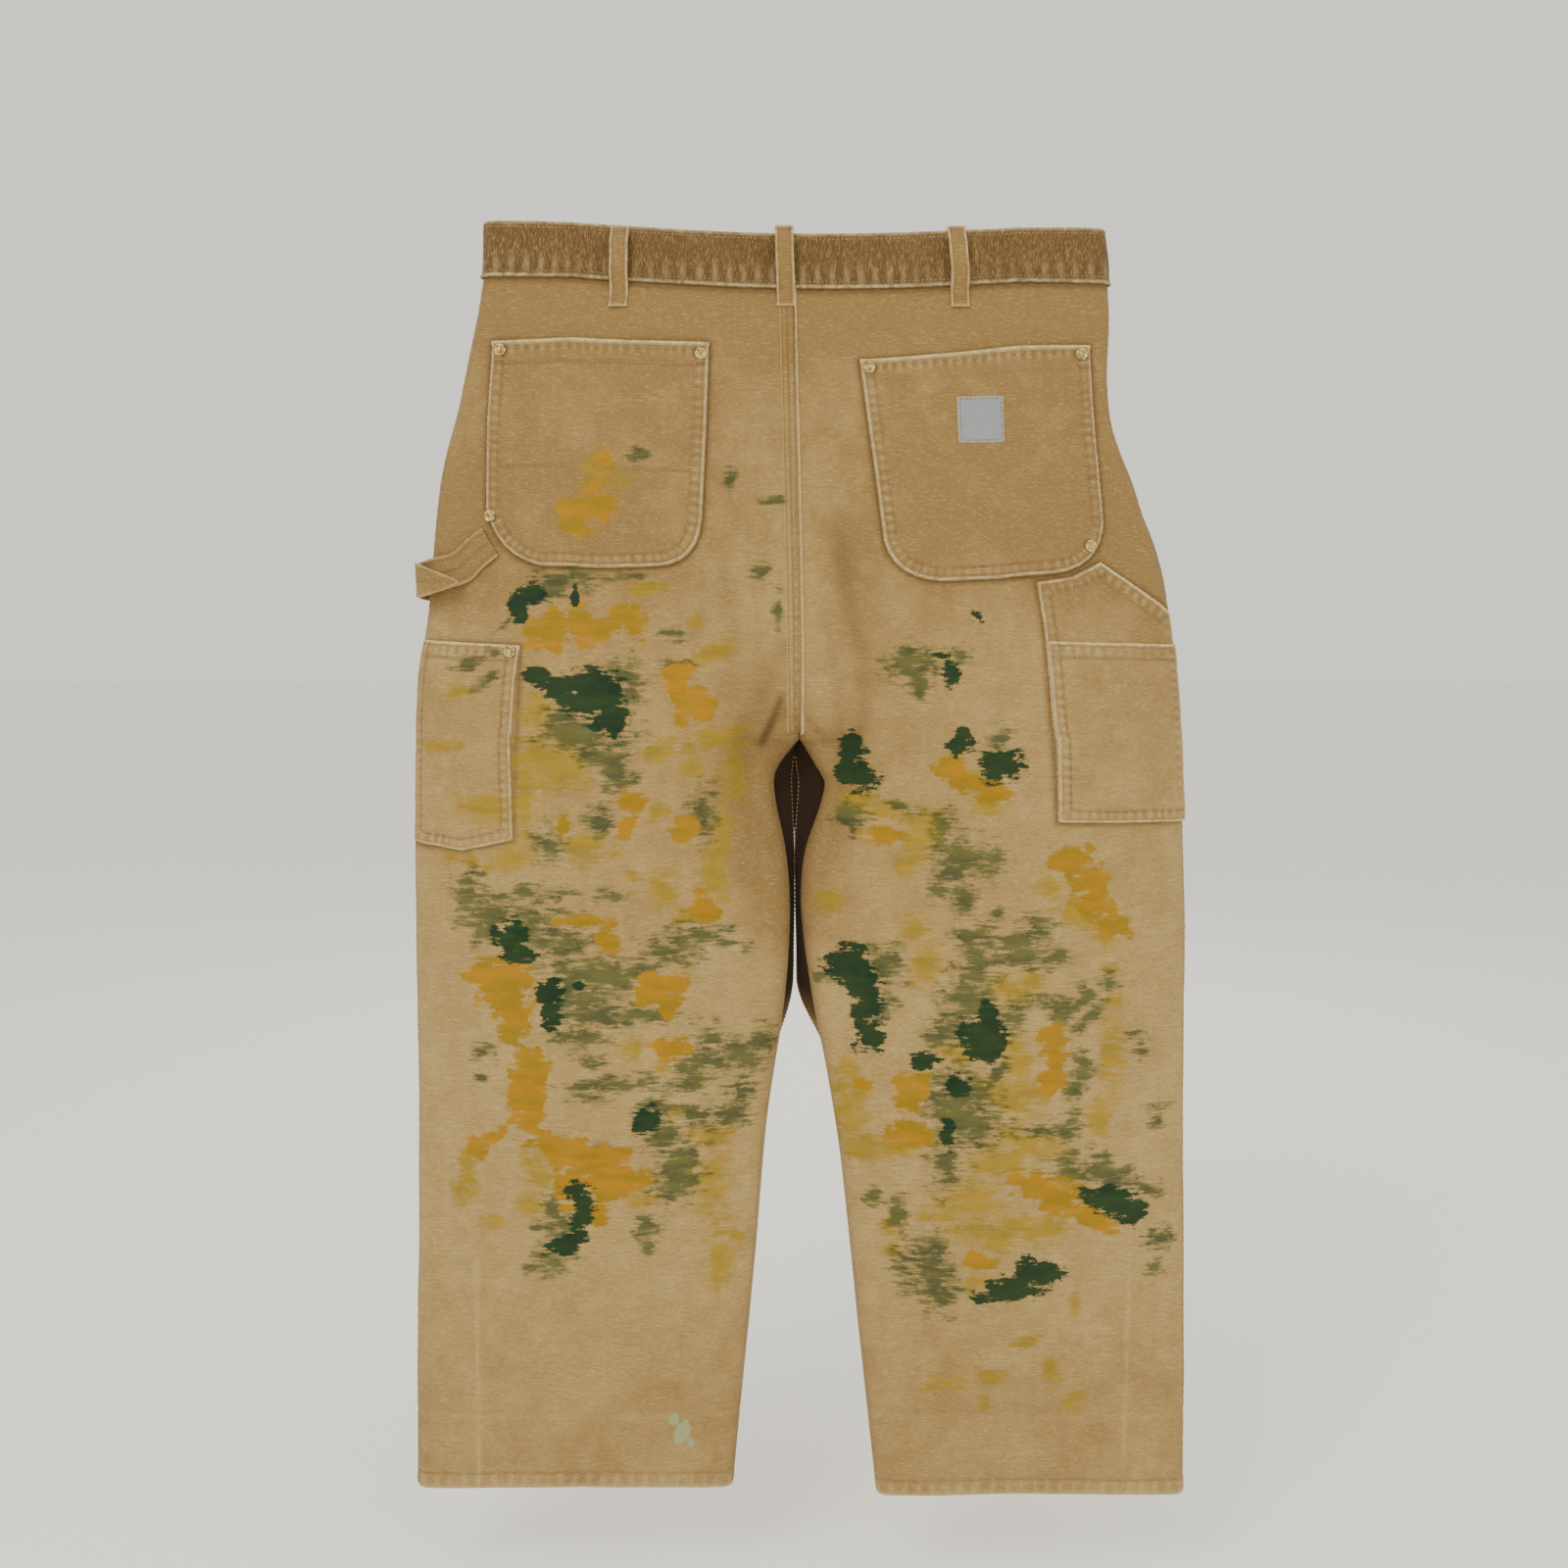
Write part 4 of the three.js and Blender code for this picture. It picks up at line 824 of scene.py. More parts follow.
# ---------------------------------------------------------------------------------------------
# Places on the flat cloth: a = distance round the section from the back seam, and level
# ---------------------------------------------------------------------------------------------
CLOTH = 1.6
SIDE_U = 0.486  # just behind the side seam


def measure_round(half, start=0.0):
    """Distances round every section, from the station at u = start."""
    steps = np.linalg.norm(np.diff(half.points, axis=1), axis=2)
    along = np.concatenate([np.zeros((half.rows, 1)), np.cumsum(steps, axis=1)], axis=1)
    half.round = along - along[:, [int(start * (len(half.stations) - 1))]]


for half in (left, right):
    measure_round(half)


def flat_of(half, u, level):
    return half.sample(half.round, level, np.asarray(u) * (len(half.stations) - 1)), level


def from_flat(half, a, level):
    rows = np.clip(np.asarray(level) / half.levels[-1] * (half.rows - 1), 0, half.rows - 1.001)
    rows = np.round(rows).astype(int)
    u = np.array([np.interp(q, half.round[r], half.stations) for q, r in zip(np.ravel(a), np.ravel(rows))])
    return u.reshape(np.shape(a)), level


def flat_line(half, points, front=False):
    """(x, z) points, with x None at the side seam, as (a, level) pairs on the flat cloth."""
    line = []
    for x, z in points:
        if x is None:
            line.append(flat_of(half, 1 - SIDE_U if front else SIDE_U, np.float64(z)))
        else:
            u, level = half.find(x, z, front)
            line.append(flat_of(half, u, level))
    return [(float(a), float(b)) for a, b in line]


def spaced(line, step):
    """Points at even steps along a polyline."""
    p = np.asarray(line, float)
    along = np.concatenate([[0], np.cumsum(np.linalg.norm(np.diff(p, axis=0), axis=1))])
    t = np.linspace(0, along[-1], max(2, int(round(along[-1] / step)) + 1))
    return np.stack([np.interp(t, along, p[:, k]) for k in range(p.shape[1])], 1)


def inset(line, d, towards, step=1.5):
    """A line moved sideways by d towards a point inside, without its crossed-over corners."""
    p = spaced(line, step)
    t = np.gradient(p, axis=0)
    n = np.stack([-t[:, 1], t[:, 0]], 1) / np.linalg.norm(t, axis=1, keepdims=True)
    inward = np.sum(n * (np.asarray(towards) - p), axis=1) > 0
    n = n if inward.mean() > 0.5 else -n
    moved = p + n * d
    apart, _ = distance(moved[:, 0], moved[:, 1], [tuple(q) for q in p[::2]])
    return moved[apart > d - 0.35]


# ---------------------------------------------------------------------------------------------
# Stitches
# ---------------------------------------------------------------------------------------------
STITCH_PITCH = 3.3
STITCH_LENGTH = 2.5
STITCH_WIDTH = 0.42
RIVET_CLEAR = 7.5  # from a rivet's place on the panel to the nearest stitch
stitch_groups = {}


def sew(group, points, out):
    """Add a row of stitches along points in space, with the outward direction at each."""
    points, out = np.asarray(points), np.asarray(out)
    along = np.concatenate([[0], np.cumsum(np.linalg.norm(np.diff(points, axis=0), axis=1))])
    if along[-1] < STITCH_PITCH:
        return
    t = np.arange(STITCH_PITCH / 2, along[-1], STITCH_PITCH)
    middle = np.stack([np.interp(t, along, points[:, k]) for k in range(3)], 1)
    ahead = np.stack([np.interp(t + 1, along, points[:, k]) for k in range(3)], 1)
    behind = np.stack([np.interp(t - 1, along, points[:, k]) for k in range(3)], 1)
    up = np.stack([np.interp(t, along, out[:, k]) for k in range(3)], 1)
    stitch_groups.setdefault(group, []).append((middle, ahead - behind, up))


def sew_at(group, half, u, level, offset):
    """A row of stitches along stations of one half, at a height above its cloth."""
    low, high = half.at(u, level, offset), half.at(u, level, offset + 1)
    sew(group, low, high - low)


def sew_flat(group, half, line, height):
    """A row of stitches along (a, level) points on the flat cloth; height(a, level) is how far out."""
    p = spaced(line, 2.0)
    offset = height(p[:, 0], p[:, 1])
    sew_at(group, half, *from_flat(half, p[:, 0], p[:, 1]), offset)


def sew_on_cloth(group, line, offset, front=False):
    """A row of stitches along (x, z) points of the garment."""
    p = spaced(line, 2.0)
    low = on_cloth(p[:, 0], p[:, 1], front, offset)
    sew(group, low, on_cloth(p[:, 0], p[:, 1], front, offset + 1) - low)


def make_stitches():
    """All the rows of each group as one mesh, with none under a rivet."""
    rivet_spots = np.array([on_cloth(x, z, front) for _, x, z, front in RIVETS])
    ring = np.array([[1, 0], [0, 0.8], [-1, 0], [0, -0.8]])
    for group, rows in stitch_groups.items():
        c, t, n = (np.concatenate([row[k] for row in rows]) for k in range(3))
        off_rivets = np.linalg.norm(c[:, None] - rivet_spots[None], axis=2).min(axis=1) > RIVET_CLEAR
        c, t, n = c[off_rivets], t[off_rivets], n[off_rivets]
        t = t / np.maximum(np.linalg.norm(t, axis=1, keepdims=True), 1e-9)
        b = np.cross(t, n)
        b /= np.maximum(np.linalg.norm(b, axis=1, keepdims=True), 1e-9)
        n = np.cross(b, t)
        corners = [c - t * STITCH_LENGTH / 2 - n * 0.15]
        for end in (-0.3, 0.3):
            for wide, tall in ring:
                side = b * wide * STITCH_WIDTH + n * tall * STITCH_WIDTH * 0.8
                corners.append(c + t * end * STITCH_LENGTH + side)
        corners.append(c + t * STITCH_LENGTH / 2 - n * 0.15)
        points = np.stack(corners, 1).reshape(-1, 3)
        one = [(0, 1 + (k + 1) % 4, 1 + k) for k in range(4)]
        one += [(1 + k, 1 + (k + 1) % 4, 5 + (k + 1) % 4, 5 + k) for k in range(4)]
        one += [(9, 5 + k, 5 + (k + 1) % 4) for k in range(4)]
        faces = [tuple(i * 10 + q for q in face) for i in range(len(c)) for face in one]
        stitched = make("stitching_" + group, points, faces, THREAD)


# ---------------------------------------------------------------------------------------------
# Patches: cloth of a given outline sewn on one half of the garment
# ---------------------------------------------------------------------------------------------
# How far in from a patch's edge its first rings of points are, and the step from there on.
EDGE_RINGS = [0, 0.35, 0.8, 1.3, 1.9, 2.5, 3.1, 3.8, 4.6, 5.6, 6.7, 7.8, 8.7, 9.4, 10.1, 10.9, 12, 13.4, 15,
              16.4, 17.6, 19]
RING_STEP = 1.6


def rings_to_middle(outline, middle):
    """Rings of points from an outline to the middle of a patch, close together at its edge."""
    rim = spaced(list(outline) + [outline[0]], 1.7)[:-1]
    reach = np.min(np.linalg.norm(rim - middle, axis=1))
    rings = [d for d in EDGE_RINGS if d < reach - 1]
    while rings[-1] < reach - RING_STEP:
        rings.append(rings[-1] + RING_STEP)
    s = 1 - np.array(rings) / reach
    return middle + (rim - middle)[None] * s[:, None, None]


def patch(name, half, outline, height, material, thick=1.5, front=False, tone=0.0, lines=(),
          painted=True):
    """Cloth on the garment: height(d, along, a, level) is its outer face's distance from the panel."""
    rim = flat_line(half, outline, front)
    middle = np.mean(np.array(rim), axis=0)
    net = rings_to_middle(rim, middle)
    a, level = net[..., 0], net[..., 1]
    d, along = distance(a, level, rim + [rim[0]])
    length = sum(math.dist(p, q) for p, q in zip(rim, rim[1:] + rim[:1]))
    h, wear, shade = height(d, along * length, a, level)
    for line in lines:
        # Each row of stitches sinks a groove, with shade painted along it.
        near, _ = distance(a, level, [tuple(q) for q in line])
        h = h - 0.5 * bell(near, 0, 0.9)
        shade = shade + 0.42 * bell(near, 0, 1.1)
    u, level = from_flat(half, a, level)
    outer = half.at(u, level, h)
    inner = half.at(u, level, h - thick)
    fields = fields_at(outer, not front, tone, wear, shade, painted)
    rows, columns = a.shape
    quads = grid_quads(rows, columns, True)
    hub_outer, hub_inner = outer[-1].mean(0), inner[-1].mean(0)
    o = np.concatenate([outer.reshape(-1, 3), [hub_outer]])
    i = np.concatenate([inner.reshape(-1, 3), [hub_inner]])
    last = (rows - 1) * columns + np.arange(columns)
    fan = np.stack([last, np.roll(last, -1), np.full(columns, len(o) - 1), np.full(columns, len(o) - 1)], 1)
    points, faces = closed_shell(o, i, np.concatenate([quads, fan]))
    faces = [tuple(dict.fromkeys(f)) for f in faces.tolist()]
    fields = {k: np.append(v.ravel(), v[-1].mean()) for k, v in fields.items()}
    made = make(name, points, faces, material, two_sided(fields, len(o)))
    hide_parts(name)
    size = np.ptp(np.array(rim), axis=0)
    declare(made, float(size[0]), float(size[1]))


# ---------------------------------------------------------------------------------------------
# Outlines of what is sewn on, as (x, z)
# ---------------------------------------------------------------------------------------------
BACK_POCKET_LEFT = [(-229, -88), (-64, -91), (-66, -160), *bend((-69, -224), (-72, -258), (-104, -259)),
                    (-150, -260), *bend((-192, -258), (-226, -250), (-234, -214)), (-233, -150)]
BACK_POCKET_RIGHT = [(49, -104), (224, -91), (229, -160), *bend((235, -226), (232, -260), (196, -264)),
                     (155, -268), *bend((110, -270), (74, -268), (67, -240)), (55, -150)]
LABEL_OUTLINE = [(122, -132), (157, -131), (158, -166), (123, -167)]
TOOL_POCKET_LEFT = [(None, -316), (-208, -318), (-214, -466), (-255, -475), (None, -471)]
UTILITY_POCKET = [(183, -270), (210, -266), (232, -255), (None, -291), (None, -452), (200, -452),
                  (190, -314)]
TOOL_POCKET_RIGHT = [(191, -315), (None, -315), (None, -452), (200.4, -452)]
RIVETS = [
    ("rivet_back_left_inner_top", -70, -100, False),
    ("rivet_back_left_outer_top", -222.5, -95, False),
    ("rivet_back_left_outer_bottom", -230, -220, False),
    ("rivet_back_right_inner_top", 56.5, -110, False),
    ("rivet_back_right_outer_top", 217, -98, False),
    ("rivet_back_right_outer_bottom", 224, -243, False),
    ("rivet_tool_pocket_left", -216, -323, False),
    ("rivet_front_left_top", -120, -54, True),
    ("rivet_front_right_top", 120, -54, True),
]
SCOOP_X = 130
SCOOP_Z = -132


# ---------------------------------------------------------------------------------------------
# The four panels
# ---------------------------------------------------------------------------------------------
PANEL_TOP = 34  # the panels start this far down, under the waistband
DEEP_FOLD = -2  # folds deeper than this have shade painted in their valleys


def scoop_line(sign, count=24):
    """The edge of a front pocket's opening."""
    side = float((left if sign < 0 else right).outer(SCOOP_Z))
    edge = bend((SCOOP_X, -BAND_HEIGHT), (SCOOP_X + 14, SCOOP_Z + 12), (side - 4, SCOOP_Z), count)
    return [(sign * x, z) for x, z in edge]


def outline_shade(half, x, z):
    """Painted shadow and grime in the corner where a pocket's edge meets the panel."""
    shade = np.zeros(x.shape)
    shapes = [BACK_POCKET_LEFT, TOOL_POCKET_LEFT] if half is left else [BACK_POCKET_RIGHT, UTILITY_POCKET]
    for shape in shapes:
        ring = [(half.sign * float(half.outer(pz)) if px is None else px, pz) for px, pz in shape]
        d, _ = distance(x, z, ring + [ring[0]])
        shade = np.maximum(shade, 0.75 * bell(d, 0, 2.6))
    return shade


def back_marks(half, x, z, level):
    """Wear and shade on a back panel: press lines, old hem, pocket edges, fold valleys and crotch."""
    wear = 0.10 * bell(level, OLD_HEM_Z, 1.6)
    for line, _ in PRESS_LINES:
        wear += 0.40 * bell(distance(x, z, line)[0], 0, 1.5) * (0.6 + 0.4 * noise(x, z, 6, 14, 61))
    shade = outline_shade(half, x, z)
    # Painted shade along the valleys of the deep folds.
    for line, width, height in FOLDS:
        if height < DEEP_FOLD:
            shade -= 0.07 * height * bell(distance(x, z, line)[0], 0, 0.6 * width)
    crotch, _ = distance(x, z, [(-10, -358), (-25, -393)])
    shade += 0.65 * bell(crotch, 0, 3.4) + 0.22 * bell(crotch, 0, 22)
    crotch, _ = distance(x, z, [(9, -372), (22, -388)])
    return wear, shade + 0.45 * bell(crotch, 0, 3.0)


def front_shade(n, inner, level):
    """The hidden side of a front panel, seen in the gap between the legs, is in deep shade."""
    hidden = (1 - smoothstep(40, 60, inner)) * (1 - smoothstep(-0.1, 0.45, n[..., 1]))
    return 2.0 * hidden * smoothstep(-380, -390, level) * smoothstep(-640, -560, level)


def panel(side, half, front):
    middle = half.COLUMNS - 1
    columns = slice(middle, None) if front else slice(0, middle + 1)
    start = int(PANEL_TOP / half.STEP)
    p, n = half.points[start:, columns], half.normal[start:, columns]
    x, z = p[..., 0], p[..., 2]
    level = half.levels[start:, None] + 0 * x
    u = half.stations[None, columns] + 0 * x
    hem = level - half.hem
    inner = np.minimum(u, 1 - u) * ROUND_HALF
    wear = 0.75 * bell(hem, 0, 2.2) + 0.25 * (puckers(x, 11, 7) > 0.3) * bell(hem, 7, 5)
    wear += 0.35 * bell(np.abs(u - 0.5) * ROUND_HALF, 0, 3.5)
    # Painted shade in the hem's stitched groove.
    shade = 0.25 * bell(hem, 13, 1.6)
    if not front:
        marks = back_marks(half, x, z, level)
        wear += marks[0]
        shade += marks[1]
    shade += 0.35 * bell(inner, 0, 6) * (level < CROTCH_Z)
    # Painted shadow just under the waistband's lower edge.
    shade += 0.6 * bell(level, -BAND_HEIGHT - 2.5, 2.4)
    if front:
        shade += front_shade(n, inner, level)
    fields = fields_at(p, not front, 0.0, np.clip(wear, 0, 1), np.clip(shade, 0, 2))
    name = ("front" if front else "back") + "_panel_" + side
    keep = ~in_scoop(half, p) if front else None
    made = sheet_object(name, p, p - n * CLOTH, CANVAS, fields, keep)
    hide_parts(name)
    declare(made, 300, 968)


def in_scoop(half, p):
    """Which quads of a front panel's net lie in its pocket's opening."""
    edge = np.array(scoop_line(half.sign))[::-1]
    c = (p[:-1, :-1] + p[1:, 1:]) / 2
    x, z = np.abs(c[..., 0]), c[..., 2]
    inside = (x > np.interp(z, edge[:, 1], np.abs(edge[:, 0]))) & (x < half.outer(z) - 6)
    return inside & (z > SCOOP_Z) & (z < -BAND_HEIGHT + 6)


for side, half in (("left", left), ("right", right)):
    panel(side, half, False)
    panel(side, half, True)


# ---------------------------------------------------------------------------------------------
# Ribbons: narrow strips of cloth that follow a line on the garment
# ---------------------------------------------------------------------------------------------
RIBBON_STEP = 1.6
RIBBON_UNDER = -0.6  # how deep a ribbon's underside is sunk


def ribbon(name, line, across, height, fields_of, front=False):
    """A strip along an (x, z) line; across lists sideways places, height(c, t) its outer face."""
    p = spaced(line, RIBBON_STEP)
    t = np.gradient(p, axis=0)
    n = np.stack([-t[:, 1], t[:, 0]], 1) / np.linalg.norm(t, axis=1, keepdims=True)
    c = np.asarray(across, float)[None, :]
    along = (np.arange(len(p)) * RIBBON_STEP)[:, None]
    x = p[:, 0, None] + n[:, 0, None] * c
    z = p[:, 1, None] + n[:, 1, None] * c
    outer = on_cloth(x, z, front, height(c, along) + 0 * x)
    inner = on_cloth(x, z, front, RIBBON_UNDER)
    wear, shade = fields_of(c, along)
    fields = fields_at(outer, not front, 0.0, np.clip(wear, 0, 1), np.clip(shade, 0, 1))
    made = sheet_object(name, outer, inner, CANVAS, fields)
    declare(made, float(np.ptp(c)), len(p) * RIBBON_STEP)


def seat_seam():
    """The felled seam down the middle of the back, with three rows of stitches."""
    line = [(float(back_seam_x(z)), z) for z in np.linspace(-BAND_HEIGHT + 2, CROTCH_Z + 2, 40)]
    # The strip's positive side is the wearer's right.
    across = np.linspace(-9.5, 4.2, 22)
    rows = (-8.0, -3.6, 1.0)

    def height(c, t):
        h = 0.25 + 1.25 * smoothstep(-9.5, -8.4, c) + 0.9 * bell(c, 2.9, 0.9)
        h = h * (1 - smoothstep(3.3, 4.3, c) * 0.9)
        for row in rows:
            h = h - 0.55 * bell(c, row, 0.8)
        return h + 0.3 * puckers(t + c * 0.4, 8, 31)

    def fields_of(c, t):
        ripple = 0.7 + 0.3 * noise(t, c, 5, 2, 33)
        wear = 0.95 * bell(c, 3.2, 1.0) * ripple + 0.35 * bell(c, -9, 0.8)
        shade = sum(0.62 * bell(c, row, 0.8) for row in rows) + 0 * t
        return wear, shade

    ribbon("seat_seam", line, across, height, fields_of)
    for row in rows:
        sew_on_cloth("seat", [(x + row, z) for x, z in line], 0.95)


seat_seam()


# ---------------------------------------------------------------------------------------------
# Pockets
# ---------------------------------------------------------------------------------------------
def slackened(base, slack, seed, d, a, level):
    """A sewn-on patch stands out a little more away from its edges."""
    return base + slack * smoothstep(6, 40, d) + 0.35 * noise(a, level, 16, 18, seed)


def seam_height(rim, base, slack, seed):
    """Where stitches lie on a sewn-on patch: just sunk into it."""

    def height(a, level):
        d, _ = distance(a, level, rim + [rim[0]])
        return slackened(base, slack, seed, d, a, level) - 0.2

    return height


def edged(base, top_level, seed, slack=1.0):
    """The height of a sewn-on patch: rolled edges, ripples beside them, and a slack middle."""

    def height(d, along, a, level):
        h = slackened(base, slack, seed, d, a, level)
        bead = bell(d, 1.5, 0.9)
        ripple = puckers(along, 7.5, seed) * bell(d, 6.5, 3.2)
        sewn = h * (0.22 + 0.78 * smoothstep(0, 1.1, d)) + 0.75 * bead + 0.28 * ripple
        mouth = h + 0.35 * bell(d, 0, 1.4) + 0.25 * ripple
        at_mouth = smoothstep(-3.5, -1.5, level - top_level(a))
        h = sewn * (1 - at_mouth) + mouth * at_mouth
        fray = 0.75 + 0.35 * noise(along, d, 3.5, 2, seed + 3)
        wear = 0.95 * bell(d, 1.3, 1.15) * fray + 0.32 * np.clip(ripple, 0, 1)
        wear = wear + 0.8 * at_mouth * bell(d, 0, 1.0) * fray
        # Painted shade along the patch's sewn edge and in the ripples' hollows.
        shade = 0.55 * bell(d, 0, 0.5) * (1 - at_mouth) + 0.28 * np.clip(-ripple, 0, 1)
        return h, np.clip(wear, 0, 1), np.clip(shade, 0, 1)

    return height


BACK_POCKET_OUT = 3.3  # from the panel to a back pocket's outer face


def back_pocket(name, half, outline, seed):
    rim = flat_line(half, outline)
    middle = np.mean(np.array(rim), axis=0)
    (a0, l0), (a1, l1) = rim[0], rim[1]

    def top_level(a):
        return l0 + (l1 - l0) * (a - a0) / (a1 - a0)

    sides = rim[1:] + [rim[0]]
    seams = [inset(sides, 3.2, middle), inset(sides, 9.8, middle)]
    for drop in (5.0, 16.5):
        seams.append(np.array([(a0, l0 - drop), (a1, l1 - drop)]))
    lining = -184 if half is left else -188
    across = [(p, q) for p, q in rim if abs(q - lining) < 40]
    near, far = min(p for p, _ in across), max(p for p, _ in across)
    seams.append(np.array([(near + 13, lining), (far - 13, lining - 1)]))
    patch(name, half, outline, edged(BACK_POCKET_OUT, top_level, seed), CANVAS,
          lines=[s[::3] if len(s) > 6 else s for s in seams], tone=0.08)
    for row in seams:
        sew_flat("pockets", half, row, seam_height(rim, BACK_POCKET_OUT, 1.0, seed))


def lining_piece(name, half, outline):
    """The lower part of a back pocket is doubled with a plain pale cloth."""
    top = -185
    out = 1.3
    low = [(x, z) for x, z in outline if z < top - 8]
    middle = sum(x for x, _ in low) / len(low)
    ring = [(x + (2.5 if x < middle else -2.5), z + 2.5) for x, z in low]
    edges = list(zip(outline, outline[1:]))
    sides = [a + (b - a) * (top - p) / (q - p) for (a, p), (b, q) in edges if (p - top) * (q - top) < 0]
    ring = [(max(sides) - 2.5, top), *ring, (min(sides) + 2.5, top)]

    def height(d, along, a, level):
        return out + 0 * d, 0 * d, 0 * d

    patch(name, half, ring, height, LINING, thick=0.7, painted=False)


back_pocket("back_pocket_left", left, BACK_POCKET_LEFT, 41)
back_pocket("back_pocket_right", right, BACK_POCKET_RIGHT, 43)
lining_piece("pocket_lining_left", left, BACK_POCKET_LEFT)
lining_piece("pocket_lining_right", right, BACK_POCKET_RIGHT)


def label():
    def height(d, along, a, level):
        edge = bell(d, 0.9, 0.7)
        h = 4.2 + 1.0 * smoothstep(0, 1.0, d) + 0.25 * edge + 0.3 * puckers(along, 6, 51) * bell(d, 0, 3)
        return h, 0.8 * bell(d, 0, 0.8), 0 * d

    patch("label_patch", right, LABEL_OUTLINE, height, LABEL, thick=0.9, painted=False)
    rim = flat_line(right, LABEL_OUTLINE)
    row = inset(rim + [rim[0]], 1.9, np.mean(np.array(rim), axis=0), 1.0)
    sew_flat("label", right, row, lambda a, level: 5.4 + 0 * a)


SIDE_ROWS = (2.4, 9.0)  # from a tool pocket's sewn edges to its stitches
MOUTH_ROWS = (2.6, 12.0)  # from its mouth
TOOL_POCKET_SLACK = 0.6


def tool_pocket(name, half, outline, base, mouth, sewn, seed):
    """mouth and sewn are index ranges of the outline's open and sewn edges."""
    rim = flat_line(half, outline)
    middle = np.mean(np.array(rim), axis=0)
    opening = [rim[i] for i in mouth]
    sides = [rim[i % len(rim)] for i in sewn]
    seams = [inset(sides, d, middle) for d in SIDE_ROWS] + [inset(opening, d, middle) for d in MOUTH_ROWS]
    top = sorted(opening)

    def top_level(a):
        return np.interp(a, [p for p, _ in top], [q for _, q in top])

    patch(name, half, outline, edged(base, top_level, seed, TOOL_POCKET_SLACK), CANVAS,
          lines=[s[::4] if len(s) > 8 else s for s in seams], tone=0.12)
    for row in seams:
        sew_flat("pockets", half, row, seam_height(rim, base, TOOL_POCKET_SLACK, seed))


label()
measure_round(left, 0.5)
measure_round(right, 0.5)
tool_pocket("tool_pocket_left", left, TOOL_POCKET_LEFT, 1.75, (0, 1), (1, 2, 3, 4, 5), 53)
tool_pocket("utility_pocket_right", right, UTILITY_POCKET, 1.75, (2, 3), (4, 5, 6, 7, 8, 9), 54)
tool_pocket("tool_pocket_right", right, TOOL_POCKET_RIGHT, 3.6, (0, 1), (2, 3, 4), 55)


# ---------------------------------------------------------------------------------------------
# Waistband: one strip folded over the top edge, from the button end round to the buttonhole end
# ---------------------------------------------------------------------------------------------
BAND_END = 17
BAND_OUT = 2.0
BAND_ROWS = (-4.5, -36.5)  # levels of its two rows of stitches
BAND_MIDDLE = -20.0
BAND_FOLD = -1.6  # level where the strip starts to turn over
BAND_FACE = 1.9  # what stands out further than this is on the outer face
BAND_IN = -CLOTH - 2.0


def band_profile():
    """(offset, level) round the folded strip's section, starting under its outer edge."""
    outer = [(BAND_OUT, z) for z in np.linspace(-BAND_HEIGHT + 1.0, BAND_FOLD, 44)]
    middle, radius = (BAND_OUT + BAND_IN) / 2, (BAND_OUT - BAND_IN) / 2
    angles = np.linspace(0.2, math.pi - 0.2, 9)
    turn = [(middle + radius * math.cos(a), BAND_FOLD + 1.8 * math.sin(a)) for a in angles]
    inner = [(BAND_IN, z) for z in np.linspace(BAND_FOLD, -BAND_HEIGHT + 0.5, 24)]
    hidden = BAND_IN + CLOTH
    under = [(hidden, -BAND_HEIGHT + 0.5), (hidden, -7), (0.4, -7), (0.4, -BAND_HEIGHT - 0.4)]
    bead = [(1.2, -BAND_HEIGHT - 0.9), (2.1, -BAND_HEIGHT - 0.6), (2.6, -BAND_HEIGHT)]
    return np.array(bead + outer + turn + inner + under)


def band_height(section, t):
    """How far the strip's section stands off the cloth at distances t round the waist."""
    out, level = section[None, :, 0], section[None, :, 1]
    ripple = puckers(t + 0 * out, 11, 71) * bell(level, -33, 6)
    bead = bell(level + BAND_HEIGHT, 0.8, 1.3)
    rows = sum(bell(level, row, 0.8) for row in BAND_ROWS)
    threads = noise(t, level, 5, 14, 72)
    return out + (out > BAND_FACE) * (0.3 * ripple + 0.7 * bead - 0.45 * rows + 0.2 * threads)


def band_fields(outer, section, t):
    level, face = section[None, :, 1] + 0 * t, section[None, :, 0] + 0 * t > BAND_FACE
    ripple = puckers(t, 11, 71)
    fray = 0.65 + 0.45 * noise(t, level, 3, 4, 73)
    crests = 0.30 * np.clip(ripple, 0, 1) * bell(level, -32, 7)
    hollows = 0.35 * np.clip(-ripple, 0, 1) * bell(level, -33, 5.5)
    wear = 0.75 * bell(level, -0.6, 1.6) * fray
    wear += face * (0.85 * bell(level + BAND_HEIGHT, 0.6, 1.2) * fray + crests)
    # Painted shade in the ripples' hollows and along the lower row of stitches.
    shade = face * (hollows + 0.3 * bell(level, -36.8, 0.9))
    fields = fields_at(outer, True, -0.1, np.clip(wear, 0, 1), np.clip(shade, 0, 1), painted=False)
    return {k: v.ravel() for k, v in fields.items()}


